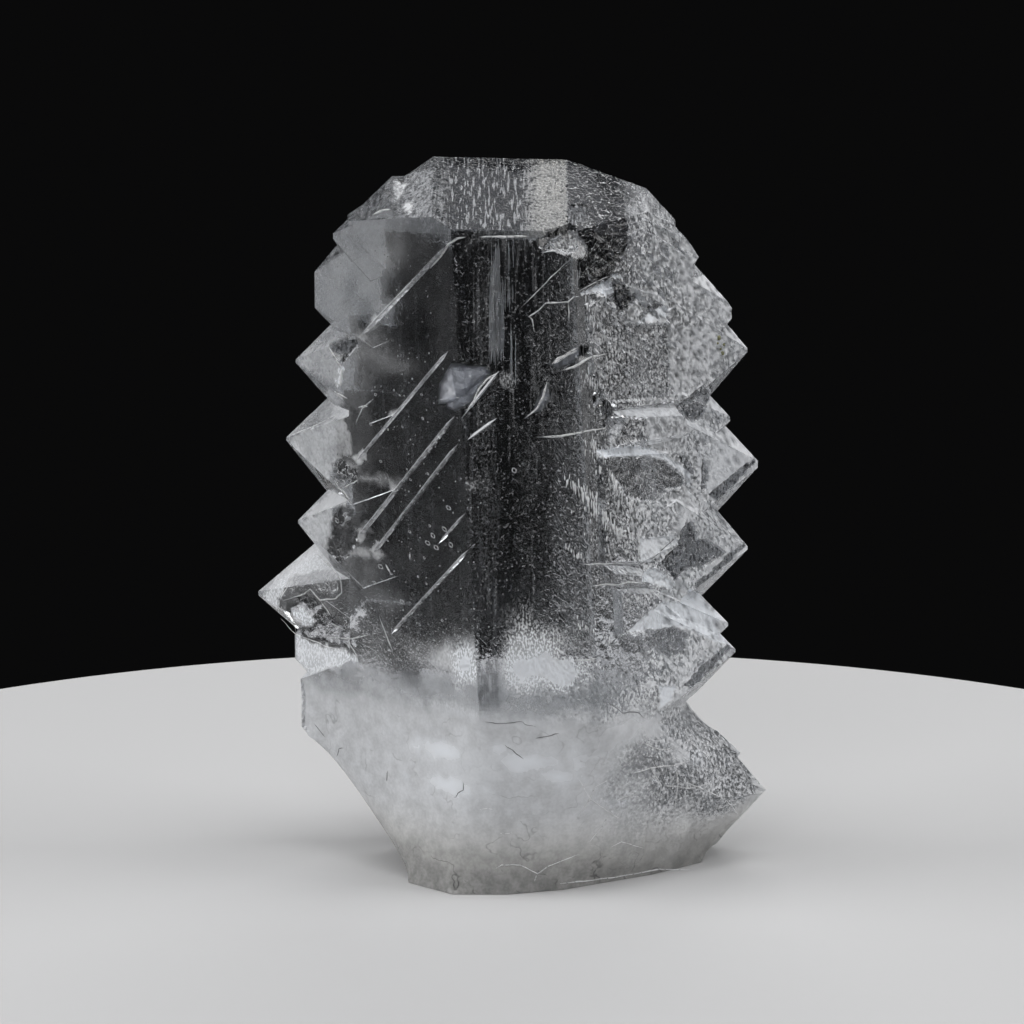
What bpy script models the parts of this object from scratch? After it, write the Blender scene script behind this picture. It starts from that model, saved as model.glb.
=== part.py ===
"""Quartz crystal: doubly terminated individuals grown side by side, their
shared long axis lying along X, so that the pointed ends stand out as a row of
teeth down the left and right sides of one tall tabular body. Front is -Y.

Everything is one solid. Each individual is a block cleaved by flat crystal
planes; the individuals are united, and the lower end is trimmed by the planes
along which the piece broke off, which leaves a flat base at Z = 0.
"""

import math

import bmesh
import bpy
from mathutils import Vector

MM = 0.001

# Driving dimensions, in millimetres and degrees.
FRONT_Y = -12.5  # front prism face of the body
BACK_Y = 11.6  # back prism face of the body
RIDGE_Y = -2.4  # the roof ridge runs along X here
RIDGE_LEFT = (-7.4, 69.5)  # left end of the ridge, x and z
RIDGE_RIGHT = (5.2, 69.2)  # right end of the ridge, x and z
WINDOW_TOP_Z = 63.0  # height where the window's side edges are measured
WINDOW_LEFT_X = -5.6
WINDOW_RIGHT_X = 5.4
WINDOW_LEFT_LEAN = 0.056  # how far each side edge drifts right per mm down
WINDOW_RIGHT_LEAN = 0.062
BODY_LEFT_X = -15.8  # the body's own ends, inside the rows of teeth
BODY_RIGHT_X = 15.6
SIDE_PITCH = 0.93  # how far a side face falls back per mm of width
ROOF_LEFT_SLOPE = 34.0
SHOULDER_SLOPE = 20.0  # worn shoulder right of the ridge
CORNER = (12.7, 66.4)  # where the shoulder turns down, x and z
CORNER_SLOPE = 47.0
ROOF_REACH_Z = 45.0  # individuals with their axis above this height meet the roof
PRISM_Y = 0.5  # prism faces lie 60 degrees apart round the X axis
PRISM_Z = math.sqrt(3) / 2

# Teeth, left row and right row, from the top down, then the two individuals of
# the milky base. Each is (name, tip x, tip z, length of the blunt edge, slope
# above, slope below, how far the tip stands forward of the body's side face,
# half height of the individual at its prism faces).
LEFT_TEETH = (
    ("left_a", -16.9, 62.0, 0.5, 44.0, 56.0, 0.3, 4.9),
    ("left_b", -18.8, 56.7, 3.4, 50.0, 46.0, 0.5, 6.6),
    ("left_c", -20.8, 49.6, 0.3, 45.0, 49.0, 0.6, 7.5),
    ("left_d", -21.9, 41.8, 0.3, 44.0, 52.0, 0.4, 7.6),
    ("left_e", -20.8, 33.8, 0.3, 45.5, 52.0, 0.7, 7.4),
    ("left_f", -25.2, 25.5, 0.4, 40.5, 42.0, -0.9, 8.8),
    ("left_g", -21.4, 20.9, 2.4, 60.0, 50.0, -0.6, 6.0),
)
RIGHT_TEETH = (
    ("right_a", 17.7, 60.2, 0.4, 56.0, 60.0, 0.2, 6.5),
    ("right_b", 21.0, 54.5, 1.4, 49.0, 55.0, 0.4, 7.2),
    ("right_c", 22.6, 50.6, 0.4, 50.0, 50.0, 0.6, 7.4),
    ("right_d", 20.9, 44.2, 0.4, 47.0, 50.0, 0.5, 5.5),
    ("right_e", 23.7, 39.6, 0.7, 47.0, 48.0, 1.5, 7.6),
    ("right_f", 22.7, 31.7, 0.3, 50.0, 46.0, 1.9, 7.5),
    ("right_g", 20.8, 24.5, 0.3, 46.0, 46.0, 1.3, 6.8),
    ("right_h", 21.5, 22.0, 0.3, 46.0, 47.0, 2.2, 7.3),
    ("right_i", 22.3, 11.3, 0.3, 44.0, 52.0, 0.2, 9.4),
    ("right_j", 17.1, 55.2, 9.6, 47.0, 47.0, 0.3, 9.0),
)
BASE_TEETH = (
    ("base_left", -20.9, 15.2, 5.2, 47.0, None, 0.0, 12.3),
    ("base_right", 25.2, 6.7, 0.4, 50.0, None, 0.0, 12.6),
)
JOINT_X = 14.1  # where a tooth's front face leaves the body's side face
JOINT_SPREAD = 1.5  # how much nearer the middle that is, per mm that the tip stands forward
TOOTH_ROOT_X = 1.0  # a tooth's buried end, near the middle
BASE_ROOT_X = -2.3  # a base individual's buried end, beyond the middle


# Growth terraces on the right side face, each standing proud of it. Corners
# are x and z on the face, clockwise seen from the front, then the rise.
TERRACES = (
    ("terrace_a", 0.45, ((6.6, 56.6), (9.2, 58.4), (14.0, 57.0), (16.0, 50.0),
                         (16.0, 46.3), (9.0, 46.2), (7.0, 50.0))),
    ("terrace_b", 0.95, ((8.9, 46.8), (16.1, 46.0), (16.9, 42.7), (8.5, 42.4), (8.2, 44.4))),
    ("terrace_c", 0.55, ((7.8, 43.0), (14.5, 42.3), (16.6, 39.0), (17.5, 36.9),
                         (17.0, 33.0), (12.0, 31.5), (8.1, 32.1))),
    ("terrace_d", 0.85, ((8.2, 32.4), (12.1, 31.3), (13.7, 29.1), (8.9, 29.6))),
    ("terrace_e", 0.62, ((9.4, 30.0), (13.2, 29.2), (16.2, 26.0), (13.0, 23.8), (9.6, 25.2))),
)
TERRACE_SLOPE = 42.0

# Raised growth sutures that cross the left side face and the window's edge:
# face, upper end, lower end (x and z), width.
SUTURES = (
    ("left", (-5.7, 62.3), (-14.5, 52.4), 0.62),
    ("left", (-5.9, 52.3), (-14.8, 40.6), 0.46),
    ("left", (-5.2, 46.4), (-14.9, 32.9), 0.60),
    ("left", (-5.0, 43.7), (-13.3, 31.8), 0.56),
    ("left", (-4.3, 37.3), (-6.9, 33.9), 0.40),
    ("left", (-4.0, 33.9), (-11.6, 24.2), 0.46),
    ("front", (-1.2, 50.6), (-4.3, 46.7), 0.44),
    ("front", (-1.4, 46.2), (-4.2, 44.1), 0.44),
)
SUTURE_SLOPE = 38.0

# Broken-out hollows: face, level of the surface that they start from, depth, corners.
HOLLOWS = (
    ("front", 0.0, 0.55, ((2.6, 63.6), (7.2, 64.6), (6.6, 61.6), (4.6, 61.3))),
    ("right", 0.45, 0.85, ((7.6, 46.9), (8.6, 47.3), (8.5, 45.7))),
    ("right", 0.95, 1.25, ((8.5, 46.6), (10.0, 45.6), (9.3, 44.2), (8.5, 43.0))),
    ("right", 0.55, 0.70, ((16.0, 41.2), (17.0, 39.6), (16.6, 37.0), (16.0, 38.6))),
)
HOLLOW_SLOPE = 28.0

# Etch pits on the right of the roof and the upper right side face.
PIT_COUNT = 46
PIT_LENGTH = (0.7, 1.5)
PIT_WIDTH = 0.42
PIT_DEPTH = 0.26
PIT_SLANT = -57.0  # the pits' long way, in degrees from X


def side_of(x):
    return -1.0 if x < 0 else 1.0


def window_edge(side, z):
    """X of the window's left or right edge at height z."""
    if side < 0:
        return WINDOW_LEFT_X + (WINDOW_TOP_Z - z) * WINDOW_LEFT_LEAN
    return WINDOW_RIGHT_X + (WINDOW_TOP_Z - z) * WINDOW_RIGHT_LEAN


def side_face_y(x, z):
    """Y of the body's left or right side face at this place."""
    side = side_of(x)
    return FRONT_Y + SIDE_PITCH * side * (x - window_edge(side, z))


def end_face(side, slope, y_sign, z_sign):
    """Normal of a pointed end's upper or lower face, whose shared edge rises or falls by this slope."""
    return (side * PRISM_Z * math.tan(math.radians(slope)), PRISM_Y * y_sign, PRISM_Z * z_sign)


def cleave(name, lowest, highest, planes):
    """A block cut by flat planes. Each plane is (point, outward normal), and what lies outside is removed."""
    mesh = bmesh.new()
    bmesh.ops.create_cube(mesh, size=1.0)
    size = Vector(highest) - Vector(lowest)
    middle = (Vector(highest) + Vector(lowest)) / 2
    for vertex in mesh.verts:
        vertex.co = Vector([vertex.co[i] * size[i] + middle[i] for i in range(3)]) * MM
    for point, normal in planes:
        everything = mesh.verts[:] + mesh.edges[:] + mesh.faces[:]
        bmesh.ops.bisect_plane(
            mesh,
            geom=everything,
            dist=1e-8,
            plane_co=Vector(point) * MM,
            plane_no=Vector(normal).normalized(),
            clear_outer=True,
        )
        rim = [edge for edge in mesh.edges if edge.is_boundary]
        if rim:
            bmesh.ops.contextual_create(mesh, geom=rim)
    bmesh.ops.recalc_face_normals(mesh, faces=mesh.faces[:])
    data = bpy.data.meshes.new(name)
    mesh.to_mesh(data)
    mesh.free()
    return bpy.data.objects.new(name, data)


def tooth(shape, place, root_x=TOOTH_ROOT_X):
    """One individual with its pointed end on the left or the right, and its other end buried in the body.

    place counts the individuals and shifts the buried faces a little, so that no two of them coincide.
    """
    name, tip_x, tip_z, blunt, above, below, forward, half_height = shape
    side = side_of(tip_x)
    shift = 0.11 * place
    root_x = root_x - 1.3 * shift
    front_y = FRONT_Y + 0.35 + shift
    back_y = BACK_Y - 0.3 - shift
    spread = JOINT_SPREAD * max(forward, 0.0)
    joint_x = side * (JOINT_X - spread + 0.35 * math.sin(2.4 * place))
    joint_y = side_face_y(joint_x, tip_z)
    tip_y = side_face_y(tip_x, tip_z) - forward
    if forward < 0:
        joint_y = joint_y - forward
    pitch = (tip_y - joint_y) / abs(tip_x - joint_x)
    upper = (tip_x, tip_y, tip_z + blunt / 2)
    lower = (tip_x, tip_y, tip_z - blunt / 2)
    axis = (tip_x, tip_y, tip_z)
    planes = [
        (upper, end_face(side, above, -1, 1)),
        (upper, end_face(side, above, 1, 1)),
        (axis, (side * pitch, -1.0, 0.0)),
        (axis, (side * SIDE_PITCH, 1.0, 0.0)),
        ((0.0, front_y, 0.0), (0.0, -1.0, 0.0)),
        ((0.0, back_y, 0.0), (0.0, 1.0, 0.0)),
        ((side * root_x, 0.0, 0.0), (-side, 0.0, 0.0)),
    ]
    if below:
        planes.append((lower, end_face(side, below, -1, -1)))
        planes.append((lower, end_face(side, below, 1, -1)))
    if tip_z > ROOF_REACH_Z:
        planes += roof_planes(0.15 + 0.6 * shift, left_slope=side > 0)
    for y_sign in (-1, 1):
        for z_sign in (-1, 1) if below else (1,):
            foot = Vector((0.0, PRISM_Y * y_sign, PRISM_Z * z_sign))
            planes.append((Vector(axis) + foot * half_height, foot))
    low = (-40.0, -40.0, tip_z - 30.0)
    high = (40.0, 40.0, tip_z + 30.0)
    return cleave(name, low, high, planes)


def roof_planes(drop, left_slope=True):
    """The roof's two sides, its left slope and its worn right shoulder, lowered by drop."""
    left = (RIDGE_LEFT[0], RIDGE_Y, RIDGE_LEFT[1] - drop)
    right = (RIDGE_RIGHT[0], RIDGE_Y, RIDGE_RIGHT[1] - drop)
    corner = (CORNER[0], RIDGE_Y, CORNER[1] - drop)
    fall = (RIDGE_RIGHT[1] - RIDGE_LEFT[1]) / (RIDGE_RIGHT[0] - RIDGE_LEFT[0])
    planes = []
    for y_sign in (-1, 1):
        planes.append((left, (-PRISM_Z * fall, PRISM_Y * y_sign, PRISM_Z)))
        planes.append((right, end_face(1, SHOULDER_SLOPE, y_sign, 1)))
        planes.append((corner, end_face(1, CORNER_SLOPE, y_sign, 1)))
        if left_slope:
            planes.append((left, end_face(-1, ROOF_LEFT_SLOPE, y_sign, 1)))
    return planes


def body():
    """The tall tabular individual that carries the rows of teeth and the clear front window."""
    left_top = (WINDOW_LEFT_X, FRONT_Y, WINDOW_TOP_Z)
    right_top = (WINDOW_RIGHT_X, FRONT_Y, WINDOW_TOP_Z)
    left_lean = -SIDE_PITCH * WINDOW_LEFT_LEAN
    right_lean = SIDE_PITCH * WINDOW_RIGHT_LEAN
    planes = [
        ((0.0, FRONT_Y, 0.0), (0.0, -1.0, 0.0)),
        ((0.0, BACK_Y, 0.0), (0.0, 1.0, 0.0)),
        *roof_planes(0.0),
        (left_top, (-SIDE_PITCH, -1.0, left_lean)),
        (right_top, (SIDE_PITCH, -1.0, right_lean)),
        (left_top[:1] + (BACK_Y,) + left_top[2:], (-SIDE_PITCH, 1.0, left_lean)),
        (right_top[:1] + (BACK_Y,) + right_top[2:], (SIDE_PITCH, 1.0, right_lean)),
        ((BODY_LEFT_X, 0.0, 0.0), (-1.0, -0.12, 0.0)),
        ((BODY_RIGHT_X, 0.0, 0.0), (1.0, -0.12, 0.0)),
        ((0.0, 0.0, 4.0), (0.0, 0.0, -1.0)),
    ]
    return cleave("quartz_crystal", (-40.0, -40.0, -10.0), (40.0, 40.0, 80.0), planes)


def face_plane(face):
    """A point on the body's front, left or right face, and its outward unit normal."""
    if face == "front":
        return Vector((0.0, FRONT_Y, WINDOW_TOP_Z)), Vector((0.0, -1.0, 0.0))
    if face == "left":
        normal = Vector((-SIDE_PITCH, -1.0, -SIDE_PITCH * WINDOW_LEFT_LEAN))
        return Vector((WINDOW_LEFT_X, FRONT_Y, WINDOW_TOP_Z)), normal.normalized()
    normal = Vector((SIDE_PITCH, -1.0, SIDE_PITCH * WINDOW_RIGHT_LEAN))
    return Vector((WINDOW_RIGHT_X, FRONT_Y, WINDOW_TOP_Z)), normal.normalized()


def plate(name, face, corners, level, rise, slope, buried=0.9):
    """A low flat-topped plate on a face, or a flat-bottomed hollow in it when rise is negative.

    corners are x and z on the face, clockwise seen from the front; the rim slopes at this angle.
    """
    origin, normal = face_plane(face)
    points = []
    for x, z in corners:
        y = origin.y - (normal.x * (x - origin.x) + normal.z * (z - origin.z)) / normal.y
        points.append(Vector((x, y, z)) + normal * level)
    if rise > 0:
        planes = [(points[0] + normal * rise, normal), (points[0] - normal * buried, -normal)]
    else:
        planes = [(points[0] + normal * buried, normal), (points[0] + normal * rise, -normal)]
    lean = math.radians(slope) * (1 if rise > 0 else -1)
    for start, end in zip(points, points[1:] + points[:1]):
        outward = normal.cross(end - start).normalized()
        if outward.dot(sum(points, Vector()) / len(points) - start) > 0:
            outward = -outward
        planes.append((start, outward * math.cos(lean) + normal * math.sin(lean)))
    middle = sum(points, Vector()) / len(points)
    reach = Vector((16.0, 16.0, 16.0))
    return cleave(name, middle - reach, middle + reach, planes)


def suture(name, face, upper, lower, width):
    """A thin raised ridge with a sharp crest from the upper to the lower point."""
    run = Vector((lower[0] - upper[0], lower[1] - upper[1]))
    across = Vector((run.y, -run.x)).normalized() * width / 2
    tip = run.normalized() * width * 2
    corners = [
        (upper[0], upper[1]),
        (upper[0] + tip.x - across.x, upper[1] + tip.y - across.y),
        (lower[0] - tip.x - across.x, lower[1] - tip.y - across.y),
        (lower[0], lower[1]),
        (lower[0] - tip.x + across.x, lower[1] - tip.y + across.y),
        (upper[0] + tip.x + across.x, upper[1] + tip.y + across.y),
    ]
    return plate(name, face, corners, 0.0, width, SUTURE_SLOPE, 0.25)


def etch_pits(collection):
    """Slanted lozenge pits, spread evenly but not in rows, over terrace_a and the face above it."""
    slant = math.radians(PIT_SLANT)
    along = Vector((math.cos(slant), math.sin(slant)))
    across = Vector((-along.y, along.x))
    for place in range(PIT_COUNT):
        x = 7.0 + 8.6 * ((place * 0.75488 + 0.21) % 1.0)
        z = 47.6 + 14.6 * ((place * 0.56984 + 0.37) % 1.0)
        if z > 61.6 - 0.2 * x and x < 9.0:
            continue
        length = PIT_LENGTH[0] + (PIT_LENGTH[1] - PIT_LENGTH[0]) * ((place * 0.419) % 1.0)
        level = 0.45 if z < 57.0 - 0.15 * abs(x - 9.0) else 0.0
        centre = Vector((x, z))
        ends = (along * length / 2, across * PIT_WIDTH / 2, -along * length / 2, -across * PIT_WIDTH / 2)
        corners = [tuple(centre + end) for end in ends]
        pit = plate("pit_%02d" % place, "right", corners, level, -PIT_DEPTH, 50.0)
        pit.hide_render = True
        pit.display_type = "WIRE"
        collection.objects.link(pit)


def break_envelope():
    """The block within which the piece broke off: flat underneath and cut back round the foot."""
    planes = [
        ((0.0, 0.0, 0.0), (0.0, 0.0, -1.0)),
        ((-10.0, 0.0, 0.0), (-12.7, 0.0, -10.7)),
        ((-10.0, -7.2, 0.0), (-0.93, -1.0, -0.12)),
        ((-5.5, -9.9, 0.0), (0.0, -1.0, -0.2)),
        ((1.0, -9.5, 0.0), (0.3, -1.0, -0.3)),
        ((5.6, -7.9, 0.0), (0.6, -1.0, -0.42)),
        ((13.0, -3.6, 0.0), (0.85, -1.0, -0.62)),
        ((18.4, 0.0, 0.0), (0.74, -0.12, -0.67)),
        ((0.0, 9.2, 0.0), (0.0, 1.0, -0.22)),
    ]
    return cleave("break_envelope", (-60.0, -60.0, -10.0), (60.0, 60.0, 90.0), planes)


def quartz_material():
    """Colourless to milky quartz."""
    material = bpy.data.materials.new("quartz")
    material.use_nodes = True
    shader = material.node_tree.nodes["Principled BSDF"]
    shader.inputs["Base Color"].default_value = (0.86, 0.87, 0.88, 1.0)
    shader.inputs["Roughness"].default_value = 0.12
    shader.inputs["Metallic"].default_value = 0.0
    shader.inputs["IOR"].default_value = 1.544
    shader.inputs["Transmission Weight"].default_value = 0.8
    return material


def join(crystal, helpers, helper, operation):
    """Adds a Boolean with this helper, which itself stays hidden."""
    helpers.objects.link(helper)
    helper.hide_render = True
    helper.display_type = "WIRE"
    modifier = crystal.modifiers.new(helper.name, "BOOLEAN")
    modifier.operation = operation
    modifier.solver = "EXACT"
    modifier.object = helper


def centre_on_origin(crystal, frame):
    """Moves the frame so that the crystal's box stands centred over the origin."""
    graph = bpy.context.evaluated_depsgraph_get()
    mesh = crystal.evaluated_get(graph).to_mesh()
    for axis in (0, 1):
        values = [vertex.co[axis] for vertex in mesh.vertices]
        frame.location[axis] = -(min(values) + max(values)) / 2


def build():
    for old in list(bpy.data.objects):
        bpy.data.objects.remove(old, do_unlink=True)
    scene = bpy.context.scene
    frame = bpy.data.objects.new("crystal_frame", None)
    scene.collection.objects.link(frame)
    helpers = bpy.data.collections.new("helpers")
    scene.collection.children.link(helpers)

    crystal = body()
    scene.collection.objects.link(crystal)
    crystal.data.materials.append(quartz_material())
    for place, shape in enumerate(LEFT_TEETH + RIGHT_TEETH):
        join(crystal, helpers, tooth(shape, place), "UNION")
    for place, shape in enumerate(BASE_TEETH):
        join(crystal, helpers, tooth(shape, 0.5 + place, BASE_ROOT_X), "UNION")
    join(crystal, helpers, break_envelope(), "INTERSECT")
    for name, rise, corners in TERRACES:
        join(crystal, helpers, plate(name, "right", corners, 0.0, rise, TERRACE_SLOPE), "UNION")
    for place, (face, upper, lower, width) in enumerate(SUTURES):
        ridge = suture("suture_%d" % place, face, upper, lower, width)
        join(crystal, helpers, ridge, "UNION")
    for place, (face, level, depth, corners) in enumerate(HOLLOWS):
        hollow = plate("hollow_%d" % place, face, corners, level, -depth, HOLLOW_SLOPE)
        join(crystal, helpers, hollow, "DIFFERENCE")
    pits = bpy.data.collections.new("pits")
    helpers.children.link(pits)
    etch_pits(pits)
    modifier = crystal.modifiers.new("pits", "BOOLEAN")
    modifier.operation = "DIFFERENCE"
    modifier.solver = "EXACT"
    modifier.operand_type = "COLLECTION"
    modifier.collection = pits
    for piece in [crystal, *helpers.all_objects]:
        piece.parent = frame
    centre_on_origin(crystal, frame)


build()
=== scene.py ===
import math

import bmesh
import bpy
import numpy as np
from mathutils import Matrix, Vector
from mathutils.bvhtree import BVHTree
from mathutils.geometry import delaunay_2d_cdt


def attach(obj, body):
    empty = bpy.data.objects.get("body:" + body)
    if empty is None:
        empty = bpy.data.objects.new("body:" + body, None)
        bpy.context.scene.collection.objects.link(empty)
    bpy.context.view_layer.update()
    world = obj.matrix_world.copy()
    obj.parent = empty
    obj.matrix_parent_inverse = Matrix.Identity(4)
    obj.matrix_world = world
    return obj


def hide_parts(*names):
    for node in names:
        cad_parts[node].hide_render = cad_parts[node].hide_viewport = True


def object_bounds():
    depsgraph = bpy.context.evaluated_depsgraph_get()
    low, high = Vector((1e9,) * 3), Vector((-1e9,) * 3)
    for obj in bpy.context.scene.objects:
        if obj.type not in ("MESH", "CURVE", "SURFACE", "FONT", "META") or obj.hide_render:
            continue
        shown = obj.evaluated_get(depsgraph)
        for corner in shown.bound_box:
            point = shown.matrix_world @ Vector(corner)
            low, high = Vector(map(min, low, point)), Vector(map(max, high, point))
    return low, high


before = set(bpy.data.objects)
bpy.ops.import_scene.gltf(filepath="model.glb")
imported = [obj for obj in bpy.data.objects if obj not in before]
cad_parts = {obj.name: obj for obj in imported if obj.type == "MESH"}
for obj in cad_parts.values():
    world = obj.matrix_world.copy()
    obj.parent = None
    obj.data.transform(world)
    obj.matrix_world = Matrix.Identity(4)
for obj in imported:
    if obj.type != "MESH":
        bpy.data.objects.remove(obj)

mm = 0.001            # the frame is in metres
perMetre = 1000
frontY = -11.9        # mm, where the window lies
flatFacing = 0.985    # a face that looks further forward or back than this is a flat one
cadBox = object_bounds()
scene = bpy.context.scene


studio = {
    "floorRadius": 100.0,   # mm, the round table that the crystal stands on
    "floorThickness": 4.0,
    "floorGap": 0.05,       # mm under the crystal, so that no faces coincide
    "floorEdge": 0.8,       # mm, rounding of the table's rim
    "floorGrey": 0.60,
    "worldGrey": 0.003,
    "lamps": {              # place, size and aim in mm, power in watts
        "leftLight": ((-420, -60, 250), (260, 380), (0, 0, 34), 0.95),
        "rightLight": ((420, -60, 250), (260, 380), (0, 0, 34), 0.95),
        "topLight": ((0, -70, 480), (380, 200), (0, 0, 34), 1.10),
        "backLight": ((40, 300, 230), (240, 160), (0, 60, 0), 0.35),
        "frontLight": ((-120, -520, 330), (300, 300), (0, 0, 34), 0.95),
    },
    "lens": 120,            # mm
    "sensor": 36,
    "cameraAim": 35.3,      # mm above the table
    "cameraTilt": 10,       # degrees down
    "cameraDistance": 328,  # mm
}


def softBox(name, place, size, aim, power):
    lamp = bpy.data.lights.new(name, "AREA")
    lamp.shape = "RECTANGLE"
    lamp.size, lamp.size_y = size[0] * mm, size[1] * mm
    lamp.energy = power
    box = bpy.data.objects.new(name, lamp)
    scene.collection.objects.link(box)
    box.location = Vector(place) * mm
    box.rotation_euler = (Vector(aim) * mm - box.location).to_track_quat("-Z", "Y").to_euler()


def makeFloor():
    table = bmesh.new()
    radius, thickness = studio["floorRadius"] * mm, studio["floorThickness"] * mm
    bmesh.ops.create_cone(table, cap_ends=True, segments=160, radius1=radius, radius2=radius,
                          depth=thickness)
    drop = thickness / 2 + studio["floorGap"] * mm
    bmesh.ops.translate(table, verts=table.verts, vec=(0, 0, -drop))
    rim = [e for e in table.edges if e.calc_face_angle(0) > 1]
    bmesh.ops.bevel(table, geom=rim, offset=studio["floorEdge"] * mm, segments=4, affect="EDGES")
    data = bpy.data.meshes.new("floor")
    table.to_mesh(data)
    table.free()
    for face in data.polygons:
        face.use_smooth = abs(face.normal.z) < 0.99
    floor = bpy.data.objects.new("floor", data)
    scene.collection.objects.link(floor)
    paint = bpy.data.materials.new("paleFloor")
    paint.use_nodes = True
    shader = paint.node_tree.nodes["Principled BSDF"]
    grey = studio["floorGrey"]
    shader.inputs["Base Color"].default_value = (grey, grey, grey * 1.01, 1)
    shader.inputs["Roughness"].default_value = 0.85
    shader.inputs["Specular IOR Level"].default_value = 0.2
    data.materials.append(paint)


def makeStudio():
    makeFloor()
    for name, (place, size, aim, power) in studio["lamps"].items():
        softBox(name, place, size, aim, power)

    world = bpy.data.worlds.new("darkRoom")
    scene.world = world
    world.use_nodes = True
    grey = studio["worldGrey"]
    world.node_tree.nodes["Background"].inputs["Color"].default_value = (grey, grey, grey * 1.03, 1)

    lens = bpy.data.cameras.new("camera")
    lens.lens, lens.sensor_width = studio["lens"], studio["sensor"]
    camera = bpy.data.objects.new("camera", lens)
    scene.collection.objects.link(camera)
    aim = Vector((0, 0, studio["cameraAim"])) * mm
    tilt = math.radians(studio["cameraTilt"])
    away = Vector((0, -math.cos(tilt), math.sin(tilt)))
    camera.location = aim + away * studio["cameraDistance"] * mm
    camera.rotation_euler = (aim - camera.location).to_track_quat("-Z", "Y").to_euler()
    scene.camera = camera
    scene.view_settings.view_transform = "Standard"
    print("studio ready")


def scatter(cells, seed):
    # mixes each row of whole numbers with the seed into a repeatable value from 0 to 1
    h = np.full(len(cells), seed * 374761393 + 668265263, np.uint64)
    for column in range(cells.shape[1]):
        h ^= cells[:, column].astype(np.int64).astype(np.uint64) * np.uint64(0x9E3779B97F4A7C15)
        h ^= h >> np.uint64(29)
        h *= np.uint64(0xBF58476D1CE4E5B9)
        h ^= h >> np.uint64(32)
    return (h >> np.uint64(11)).astype(np.float64) / float(1 << 53)


def smoothNoise(points, size, seed=0):
    # from -1 to 1, with features about size mm across
    q = points / size
    low = np.floor(q).astype(np.int64)
    t = q - low
    t = t * t * (3 - 2 * t)
    total = np.zeros(len(points))
    dims = points.shape[1]
    for corner in range(1 << dims):
        step = np.array([(corner >> d) & 1 for d in range(dims)])
        weight = np.prod(np.where(step, t, 1 - t), axis=1)
        total += weight * scatter(low + step, seed)
    return total * 2 - 1


def layered(points, size, seed=0, layers=3):
    # noise with finer and weaker layers on top, again from -1 to 1
    total, gain, amount = np.zeros(len(points)), 1.0, 0.0
    for layer in range(layers):
        total += gain * smoothNoise(points, size / 2 ** layer, seed + 17 * layer)
        amount += gain
        gain *= 0.5
    return total / amount


def ramp(x, low, high):
    # eases from 0 at low to 1 at high
    t = np.clip((x - low) / (high - low), 0, 1)
    return t * t * (3 - 2 * t)


crystalShape = {
    "fine": 0.23,           # mm between mesh points where the face is etched
    "rough": 2,             # times that on the roof, the left tips and the broken foot
    "smooth": 5,            # times that on smooth faces
    "weld": 2e-4,           # mm, points closer than this become one
    "flatness": 0.004,      # mm, how far from its plane a facet may stray
    "footSoftness": 0.60,   # how strongly the edges of the broken foot are smoothed
    "footRounds": 140,
    "backSoftness": 0.9,    # and the steps at the left of the back
    "backRounds": 320,
    "creaseAngle": 24,      # degrees, sharper edges stay hard
}

places = {                  # mm
    "rightSide": 5.2,       # x where the right side begins
    "footTop": 17.0,        # z where the broken foot ends
    "milkTop": 19.5,        # z where the milk of the foot turns clear
    "roofLow": 58.0,        # z above which the roof faces lie
}


def spacingAt(p, n):
    # how many steps of the finest mesh apart the points stand at this place
    x, _, z = p
    front, slanted = n[1] < -0.1, abs(n[1]) < flatFacing
    onRight = x > places["rightSide"] and z > places["footTop"] and x + 0.4 * z < 44
    if front and ((slanted and onRight) or (x > 1.5 and z > 60)):
        return 1
    onRoof = n[2] > 0.5 and z > places["roofLow"]
    if n[1] < 0.5 and (z < 26 or x < -13 or onRoof):
        return crystalShape["rough"]
    if z < places["milkTop"] or (x > 5 and slanted):
        return crystalShape["rough"]
    return crystalShape["smooth"]


def readMesh(data):
    # points in mm and triangles, with the points that coincide made one
    data.calc_loop_triangles()
    points = np.empty(len(data.vertices) * 3, np.float32)
    data.vertices.foreach_get("co", points)
    faces = np.empty(len(data.loop_triangles) * 3, np.int32)
    data.loop_triangles.foreach_get("vertices", faces)
    points = points.reshape(-1, 3).astype(float) * perMetre
    faces = faces.reshape(-1, 3).astype(np.int64)
    key = np.round(points / crystalShape["weld"]).astype(np.int64)
    _, first, back = np.unique(key, axis=0, return_index=True, return_inverse=True)
    faces = back.reshape(-1)[faces]
    a, b, c = faces.T
    return points[first], faces[(a != b) & (b != c) & (a != c)]


def triangleSides(tris, walls=()):
    # the triangles on each edge, apart from the edges that are walls
    sides = {}
    for t, (i, j, k) in enumerate(tris.tolist()):
        for e in ((i, j), (j, k), (k, i)):
            e = (min(e), max(e))
            if e not in walls:
                sides.setdefault(e, []).append(t)
    return sides


def neighbours(sides, count):
    near = [[] for _ in range(count)]
    for pair in sides.values():
        if len(pair) == 2:
            near[pair[0]].append(pair[1])
            near[pair[1]].append(pair[0])
    return near


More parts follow.
